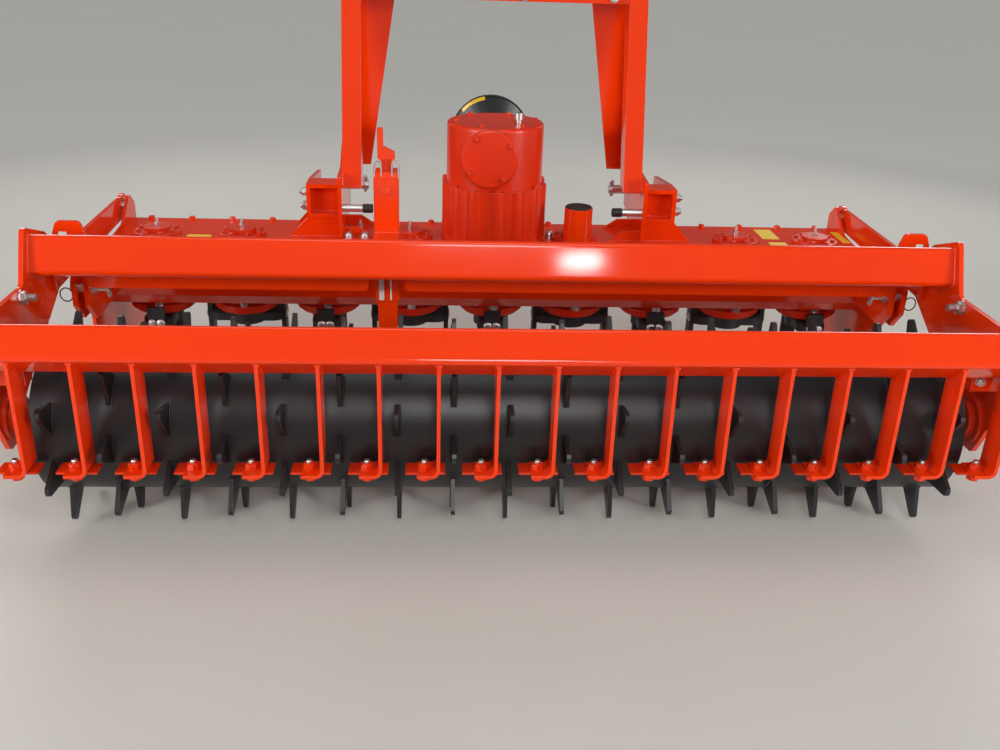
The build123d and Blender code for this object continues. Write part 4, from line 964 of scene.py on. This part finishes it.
# %% Depth pin handles, cotters and rings
depth_low, depth_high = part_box("depth_pins")
PIN_Y = ((depth_low.y + depth_high.y) / 2 - ROTOR_LINE) * 1000
PIN_Z = (depth_low.z + depth_high.z) * 500
HANDLE = [(0, -30), (5, -28), (6.5, -24), (6.5, 24), (5, 28), (0, 30)]
SHANK = [(0, 0), (9, 0), (9, 3), (7.5, 5), (7.5, 34), (9, 35), (9, 38), (0, 38)]
SHANK_X, HANDLE_X, COTTER_X, DEPTH_RING_X = 1067, 1036, (1092, 1098), 1139
# One cotter: how far in, how far forward and how high of the pin's middle, in mm.
COTTER = [(0, -6, 6), (0, -16, 18), (14, -20, 20), (26, -12, 12), (24, -2, 10)]
lean = (UP + BACK * 0.5).normalized()
handles, cotters, loops = [], [], []
for side in (-1, 1):
    handles.append(turned_part(SHANK, [spot(side * SHANK_X, PIN_Y, PIN_Z)], [LEFT * side], 14))
    handles.append(turned_part(HANDLE, [spot(side * HANDLE_X, PIN_Y, PIN_Z)], [lean], 14))
    for x in COTTER_X:
        cotters.append([spot(side * (x - inward), PIN_Y + y, PIN_Z + z) for inward, y, z in COTTER])
    loops.append(wire_ring(side * DEPTH_RING_X, PIN_Y - 14, PIN_Z - 14, 17, 19, "X"))
settle("depth_handles", joined(handles), zinc, "frame")
settle("depth_cotters", bent_part(cotters, 2.2), zinc, "frame")
settle("depth_rings", bent_part(loops, 1.7, closed=True), moulded, "frame")

# %% [markdown]
# ## Large bolts of the roller frame
# A long bolt through each side plate ends in a bright nut on the inside. The arm's two bolts and the
# bearing's four show only their domed heads. The same profile serves both, in radii of the head.

# %% Large bolts of the roller frame
ARM_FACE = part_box("roller_arms")[1].x * 1000
STOP_Y, STOP_Z = -640, 482
places = [spot(side * ARM_FACE, STOP_Y, STOP_Z) for side in (-1, 1)]
bolts("stop_bolts", "M20", places, [RIGHT, LEFT], zinc, "roller_frame", stud=38, seed=41)

ARM_BOLTS = ((-425, 470), (-372, 473))
DOMED_HEAD = [(0, 0), (1, 0), (1, 0.06), (0.84, 0.2), (0.5, 0.3), (0, 0.33)]
ARM_HEAD_RADIUS, BEARING_HEAD_RADIUS = 18, 14
arm_head = [(r * ARM_HEAD_RADIUS, z * ARM_HEAD_RADIUS) for r, z in DOMED_HEAD]
bearing_head = [(r * BEARING_HEAD_RADIUS, z * BEARING_HEAD_RADIUS) for r, z in DOMED_HEAD]
places = [spot(side * side_high.x * 1000, y, z) for side in (-1, 1) for y, z in ARM_BOLTS]
aims = [LEFT, LEFT, RIGHT, RIGHT]
settle("arm_bolts", turned_part(arm_head, places, aims, 24), zinc, "roller_frame")
settle("bearing_bolts", turned_part(bearing_head, bearing_places, bearing_aims, 20), zinc, "roller_frame")

# %% [markdown]
# ## Saddle, crossbar and tine bolts
# Every tine is a wear part, so two large bolts hold each one against its holder. Their heads are low and
# domed, because they pass close to the end plates. At rest the tines of every second rotor stand along the
# machine's length, and the others across it. More bolts close the saddles and fix the head of the tower.

# %% Saddle and crossbar bolts
SADDLE_REAR, SADDLE_BOLTS = -950, ((1066, 418), (1066, 452), (1138, 418))
CROSSBAR_BOLTS = ((352, 1142), (352, 1176), (85, 1140))
rear_face = (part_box("tower_crossbar")[0].y - ROTOR_LINE) * 1000
saddle_places = [spot(side * x, SADDLE_REAR, z) for side in (-1, 1) for x, z in SADDLE_BOLTS]
bolts("saddle_nuts", "M12", saddle_places, [BACK] * len(saddle_places), zinc, "roller_frame",
      stud=16, seed=47)
bar_places = [spot(side * x, rear_face, z) for side in (-1, 1) for x, z in CROSSBAR_BOLTS]
bolts("crossbar_bolts", "M12", bar_places, [BACK] * len(bar_places), zinc, "frame", seed=53)

# %% Tine bolts
TINE_FACE, TINE_BOLT_Z, TINE_BOLT_SPACING = 118, 215, 24
for number, x in enumerate(rotor_x, 1):
    out, beside = (FRONT, RIGHT) if number % 2 else (RIGHT, FRONT)
    middle = Vector((mm(x), ROTOR_LINE, mm(TINE_BOLT_Z)))
    places, aims = [], []
    for way in (-1, 1):
        for offset in (-TINE_BOLT_SPACING / 2, TINE_BOLT_SPACING / 2):
            places.append(middle + out * way * mm(TINE_FACE) + beside * mm(offset))
            aims.append(out * way)
    settle(f"tine_bolts_{number}", turned_part(bearing_head, places, aims, 20), zinc, f"rotor_{number}")

# %% [markdown]
# ## Welds of the hitch, the trough and the roller frame
# Wherever a plate stands on another, a bead runs along the corner. Each line below is one bead, given by its
# corners on the right-hand side in millimetres, and a loop lays the same bead on the left.

# %% Welds of the hitch and of the trough
lines = []
for side in (-1, 1):
    corners = [
        [(450, 14, 606), (450, 25, 643)],
        [(450, 84, 620), (450, 96, 658)],
        [(450, -22, LID_Z + EDGE), (450, 183, LID_Z + EDGE)],
        [(463, 38, 526), (543, 38, 526), (543, 38, 603), (463, 38, 603), (463, 38, 526)],
        [(394, 184, 1130), (394, 184, 1189)],
        [(394, 284, 1130), (394, 284, 1189)],
        [(35, 284, 1130), (35, 284, 1189)],
        [(47, 284, 1130), (47, 284, 1189)],
    ]
    corners += [[(364, y, LID_Z + EDGE), (606, y, LID_Z + EDGE)] for y in (6, 18, 140, 152)]
    corners += [[(x, -165, 344), (x, -165, 430)] for x in (1076, 1088, 1108, 1120)]
    lines += [[spot(side * x, y, z) for x, y, z in corner] for corner in corners]
welds("hitch_welds", lines, 3.2, "frame", seed=71)

# %% Welds of the roller frame
lines = []
for side in (-1, 1):
    corners = [
        [(1046, -468, 584), (1134, -468, 584)],
        [(1046, -458, 580), (1134, -458, 580)],
        [(1160, -950, 394), (1160, -950, 484)],
    ]
    lines += [[spot(side * x, y, z) for x, y, z in corner] for corner in corners]
BAR_OFFSET, BAR_HALF, BAR_CORNERS = 29, 4, ((-1036, 482), (-989, 440), (-971, 451))
for x in blade_x:
    for face in (-1, 1):
        edge_x = x * 1000 + BAR_OFFSET + face * (BAR_HALF + EDGE)
        lines.append([spot(edge_x, y, z) for y, z in BAR_CORNERS])
# The adjuster's bracket is welded to the beam and to the tube. Two strips hang under the beam, each on two
# hangers that are welded to it.
BRACKET_HALF, BRACKET_TOP, BEAM_FACE = 32, 599, -511
HANGER_X, HANGER_HALF, HANGER_Y, HANGER_Z = (-984, -413.5, -180.5, 984), 19, -484, 501
lines += [[spot(TUBE_X + side * BRACKET_HALF, y, BRACKET_TOP) for side in (-1, 1)]
          for y in (BEAM_FACE, TUBE_REAR)]
lines += [[spot(x + side * HANGER_HALF, HANGER_Y, HANGER_Z) for side in (-1, 1)] for x in HANGER_X]
welds("roller_frame_welds", lines, 2.8, "roller_frame", step=2.0, seed=73)
